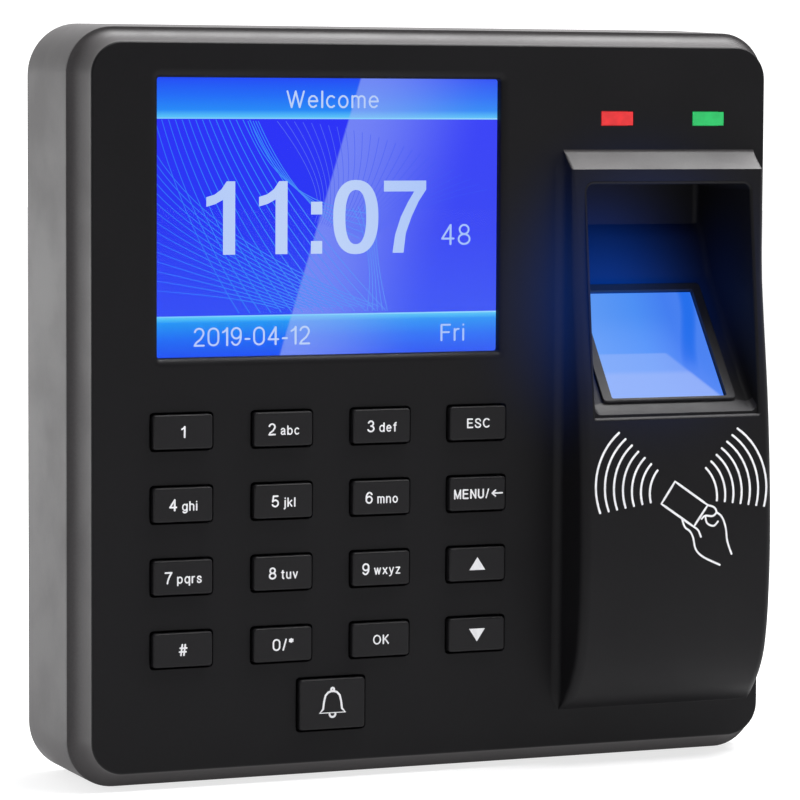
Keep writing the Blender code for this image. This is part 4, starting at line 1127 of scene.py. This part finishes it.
refinish(board_green, "main_board")
refinish(black_moulding, "processor_chip", "memory_chip", "buzzer", "battery_holder", "tamper_switch")
refinish(plain_finish("relay_blue", (0.010, 0.045, 0.26), (0.016, 0.065, 0.34), 320.0, 0.35), "lock_relay")
refinish(plain_finish("terminal_green", (0.018, 0.24, 0.075), (0.028, 0.31, 0.10), 420.0, 0.42), "wire_terminal")
refinish(zinc_steel, "coin_cell", "board_screw_1", "board_screw_2", "board_screw_3", "board_screw_4")
refinish(plain_finish("plunger_white", (0.72, 0.72, 0.68), (0.8, 0.8, 0.76), 500.0, 0.4), "tamper_plunger")

# Rear case ----------------------------------------------------------------------------------
# Black ABS tub behind the cover: side walls that lean in slightly, and a rear wall set in from
# its rim with windows for the hooks, the cables and the tamper plunger, and five vents.

WALL = 2.0
BACK_Y = -2.0
REAR_EDGE_R = 0.3
CASE_POSTS = [(x, z) for x in (-52.8, 52.8) for z in (-51.3, 51.3)]
HOOKS = [(x, z) for x in (-32.0, 32.0) for z in (-18.0, 36.0)]
CABLE_WINDOW = (-26.0, 8.0, -31.0, -14.0)
VENTS, VENT_X, VENT_Z, VENT_PITCH, VENT_W, VENT_H = 5, -44.0, -33.0, 3.0, 1.2, 10.0
PLUNGER_X, PLUNGER_Z = 8.0, 14.0


def hole(outline, front=-6.0, rear=1.0, bm=None):
    """A straight solid with one outline from front to rear, for an opening or a plain block."""
    return stack((front, outline), (rear, outline), bm=bm)


def drum(x, z, radius, y0, y1, segments=32, bm=None):
    bm = bm or bmesh.new()
    bmesh.ops.create_cone(bm, cap_ends=True, segments=segments, radius1=radius, radius2=radius, depth=abs(y1 - y0),
                          matrix=Matrix.Translation((x, (y0 + y1) / 2, z)) @ Matrix.Rotation(math.pi / 2, 4, "X"))
    return bm


def pin(x, y, z0, z1, radius, segments=32, bm=None):
    bm = bm or bmesh.new()
    bmesh.ops.create_cone(bm, cap_ends=True, segments=segments, radius1=radius, radius2=radius, depth=z1 - z0,
                          matrix=Matrix.Translation((x, y, (z0 + z1) / 2)))
    return bm


def tub_sections():
    rear = [(-REAR_EDGE_R * (1 - math.sin(angle)), REAR_EDGE_R * (1 - math.cos(angle)))
            for angle in (math.radians(90 * k / 3) for k in (3, 2, 1, 0))]
    sections = [(y, case_outline(inset, inset)) for y, inset in rear]
    return [*sections, (SEAM_Y + 0.05, case_outline(DRAFT, 0.0))]


bosses, mouths, windows = bmesh.new(), bmesh.new(), bmesh.new()
for x, z in CASE_POSTS:
    drum(x, z, 5.0, BACK_Y - 1.0, BACK_Y + 0.35, 48, bosses)
    drum(x, z, 1.7, -8.0, 1.0, 24, mouths)
for x, z in HOOKS:
    hole(rounded(x - 4.5, x + 4.5, z - 6.0, z + 0.3, 0.5, 4), bm=windows)
x0, x1, z0, z1 = CABLE_WINDOW
hole(rounded(x0, x1, z0, z1, 1.0, 5), bm=windows)
drum(PLUNGER_X, PLUNGER_Z, 1.9, -6.0, 1.0, 24, windows)
for k in range(VENTS):
    hole(centred(VENT_X + VENT_PITCH * k, VENT_Z, VENT_W, VENT_H, 0.59, 5), bm=windows)
tub_inside = hole(case_outline(DRAFT + WALL, WALL, 8), -4.0, SEAM_Y - 2.0)
rear_recess = hole(case_outline(WALL + 0.4, WALL + 0.4, 10), BACK_Y, 2.0)
lock_pocket = hole(centred(0, -53.0, 21.0, 10.6, 0.5, 2), -10.0, -3.4)
lock_room = hole(centred(0, -53.15, 18.0, 8.3, 0.5, 3), -8.5, 2.0)
LOCK_Y = -4.2
lock_head, lock_shank = pin(0, LOCK_Y, case_low.z - 1.0, case_low.z + 1.2, 3.3), pin(0, LOCK_Y, case_low.z, -55.0, 1.7)
# The tub takes the paler copy of the plastic: painted lighter, as its sides look where light falls on them.
finish_piece("rear_case_shell", stack(*tub_sections()), painted_lit_plastic, replaces=["rear_case"],
             steps=cut(tub_inside, rear_recess) + joined(bosses, lock_pocket)
             + cut(lock_room, windows, mouths, lock_head, lock_shank))

# Screws -------------------------------------------------------------------------------------
# Zinc-plated pan heads with a cross recess: four that hold the two halves of the case together
# from behind, and one that locks the case to the wall plate from below.

RECESS_TURN = 0.35


def cross_screw(x, y, z, head_r, head_t, recess, axis):
    """A screw head that stands on (x, y, z) with its crown towards axis, and the cutters of its recess."""
    bm = bmesh.new()
    rings = []
    for radius, height in ((head_r, 0.0), (head_r, head_t * 0.35), (head_r * 0.93, head_t * 0.62),
                           (head_r * 0.78, head_t * 0.84), (head_r * 0.5, head_t * 0.97), (head_r * 0.2, head_t)):
        rings.append([(radius * math.cos(math.tau * k / 32), radius * math.sin(math.tau * k / 32), height)
                      for k in range(32)])
    add_loops(bm, rings)
    tools = []
    for turn, depth in ((RECESS_TURN, head_t), (RECESS_TURN + math.pi / 2, head_t * 0.94)):
        tool = bmesh.new()
        bmesh.ops.create_cone(tool, cap_ends=True, segments=4, radius1=0.3, radius2=recess * 0.5, depth=depth,
                              matrix=Matrix.Rotation(turn, 4, "Z") @ Matrix.Diagonal((1.0, 0.27, 1.0, 1))
                              @ Matrix.Translation((0, 0, head_t * 0.75)))
        tools.append(tool)
    place = Matrix.Translation((x, y, z)) @ Vector((0, 0, 1)).rotation_difference(Vector(axis)).to_matrix().to_4x4()
    for solid in (bm, *tools):
        bmesh.ops.transform(solid, matrix=place, verts=solid.verts)
    return bm, tools


for number, (x, z) in enumerate(CASE_POSTS, 1):
    head, recess = cross_screw(x, BACK_Y + 0.1, z, 2.7, 1.5, 2.9, (0, 1, 0))
    shank = drum(x, z, 1.3, -14.0, BACK_Y + 0.5, 20)
    finish_piece(f"case_screw_{number}_head", head, zinc_steel, replaces=[f"case_screw_{number}"],
                 steps=joined(shank) + cut(*recess))
head, recess = cross_screw(0, LOCK_Y, case_low.z + 1.1, 3.0, 1.0, 3.0, (0, 0, -1))
finish_piece("plate_lock_screw_head", head, zinc_steel, replaces=["plate_lock_screw"],
             steps=joined(pin(0, LOCK_Y, case_low.z + 0.6, -50.5, 1.15, 20)) + cut(*recess))

# Wall plate ---------------------------------------------------------------------------------
# Pressed from 1.5 mm zinc-plated steel: four hooks bent forward into the case, slots for the
# wall screws, a window for the cables, a tab for the lock screw and two stiffening beads.

PLATE_T = 1.5
LOCK_TAB_Z = -52.0
plate_edge = 0.12
plate = stack(*[(y, rounded(-42.0 + inset, 42.0 - inset, -46.0 + inset, 46.0 - inset, 4.0 - inset, 10))
                for y, inset in ((0.0, plate_edge), (-plate_edge, 0.0), (plate_edge - PLATE_T, 0.0),
                                 (-PLATE_T, plate_edge))])
tab = hole(rounded(-7.0, 7.0, LOCK_TAB_Z - PLATE_T, -44.0, 0.4, 3), -PLATE_T, 0.0)
foot = hole(rounded(-7.0, 7.0, LOCK_TAB_Z - PLATE_T, LOCK_TAB_Z, 0.1, 2), -7.5, -0.5)
legs, lips, slots, beads, grooves = (bmesh.new() for _ in range(5))
for x, z in HOOKS:
    hole(rounded(x - 3.5, x + 3.5, z - 1.4, z, 0.1, 2), -5.5, -1.0, legs)
    hole(rounded(x - 3.5, x + 3.5, z - 0.7, z + 3.4, 0.3, 3), -5.5, -4.2, lips)
    hole(rounded(x - 3.5, x + 3.5, z + 0.6, z + 5.6, 0.5, 4), -2.5, 1.0, slots)
for x in (-18.0, 18.0):
    for z in (-38.0, 38.0):
        hole(centred(x, z, 4.2, 9.0, 2.08, 8), -2.5, 1.0, slots)
hole(rounded(x0 + 1, x1 - 1, z0 + 1, z1 - 1, 2.0, 6), -2.5, 1.0, slots)
for z in (2.0, 20.0):
    hole(centred(0, z, 54.0, 3.4, 1.65, 8), -PLATE_T - 0.4, -PLATE_T + 0.2, beads)
    hole(centred(0, z, 53.0, 2.4, 1.15, 8), -0.4, 1.0, grooves)
finish_piece("wall_plate_steel", plate, zinc_steel, replaces=["wall_plate"],
             steps=joined(tab, foot, legs, lips, beads)
             + cut(slots, grooves, pin(0, LOCK_Y, LOCK_TAB_Z - 3.0, LOCK_TAB_Z + 2.0, 1.4)))

# Floor, light and camera --------------------------------------------------------------------
# The terminal stands on its lower edge on a white floor that glows a little, in a room that is
# dim in front and bright behind. A soft light hangs above it and a low one stands on its left.

FLOOR_GLOW, FLOOR_RADIUS = 0.74, 3000.0


def stage_finish(name, shade):
    material, feed, place = new_finish(name, Roughness=0.7, Specular_IOR_Level=0.2, Emission_Strength=FLOOR_GLOW,
                                       Emission_Color=(1.0, 1.0, 1.0))
    feed(Base_Color=place.noise(9.0, 2.0).blend(tuple(c * 0.985 for c in shade), shade))
    return material


floor_bm = bmesh.new()
bmesh.ops.create_circle(floor_bm, cap_ends=True, segments=96, radius=FLOOR_RADIUS,
                        matrix=Matrix.Translation((0, 0, cad_low.z / MM - 0.05)))
floor = mesh_object("floor", floor_bm)
floor.data.materials.append(stage_finish("white_floor", (0.36, 0.36, 0.365)))

world = bpy.data.worlds.new("studio")
bpy.context.scene.world = world
world.use_nodes = True
heading = Wire(world.node_tree).node("TexCoord", output="Generated")
behind = heading.part(1).step(-0.35, 0.55)
sky_light = behind.blend((0.14, 0.14, 0.145), (1.35, 1.35, 1.35))
world.node_tree.links.new(sky_light.socket, world.node_tree.nodes["Background"].inputs["Color"])


def soft_light(name, place, target, width, height, power):
    lamp = bpy.data.lights.new(name, "AREA")
    lamp.shape = "RECTANGLE"
    lamp.size, lamp.size_y, lamp.energy = width, height, power
    holder = bpy.data.objects.new(name, lamp)
    bpy.context.scene.collection.objects.link(holder)
    holder.location = place
    holder.rotation_euler = (Vector(target) - Vector(place)).to_track_quat("-Z", "Y").to_euler()


soft_light("top_light", (0.24, -0.02, 0.64), (0.0, -0.02, 0.0), 0.5, 0.5, 12.5)
soft_light("left_light", (-0.40, 0.26, -0.01), (0.0, -0.02, -0.05), 0.5, 0.08, 0.8)

VIEW_CENTRE, VIEW_DISTANCE = Vector((-6.6, -23.3, 0.47)) * MM, 0.612
YAW, PITCH, ROLL = math.radians(22.69), math.radians(4.55), math.radians(0.31)
turn = (Matrix.Rotation(-YAW, 4, "Z") @ Matrix.Rotation(math.pi / 2 - PITCH, 4, "X")
        @ Matrix.Rotation(ROLL, 4, "Z"))
camera_data = bpy.data.cameras.new("camera")
camera_data.lens, camera_data.sensor_width = 174.0, 36.0
camera_data.clip_start, camera_data.clip_end = 0.05, 20.0
camera = bpy.data.objects.new("camera", camera_data)
bpy.context.scene.collection.objects.link(camera)
camera.matrix_world = Matrix.Translation(VIEW_CENTRE) @ turn @ Matrix.Translation((0, 0, VIEW_DISTANCE))
bpy.context.scene.camera = camera
bpy.context.scene.view_settings.view_transform = "Standard"
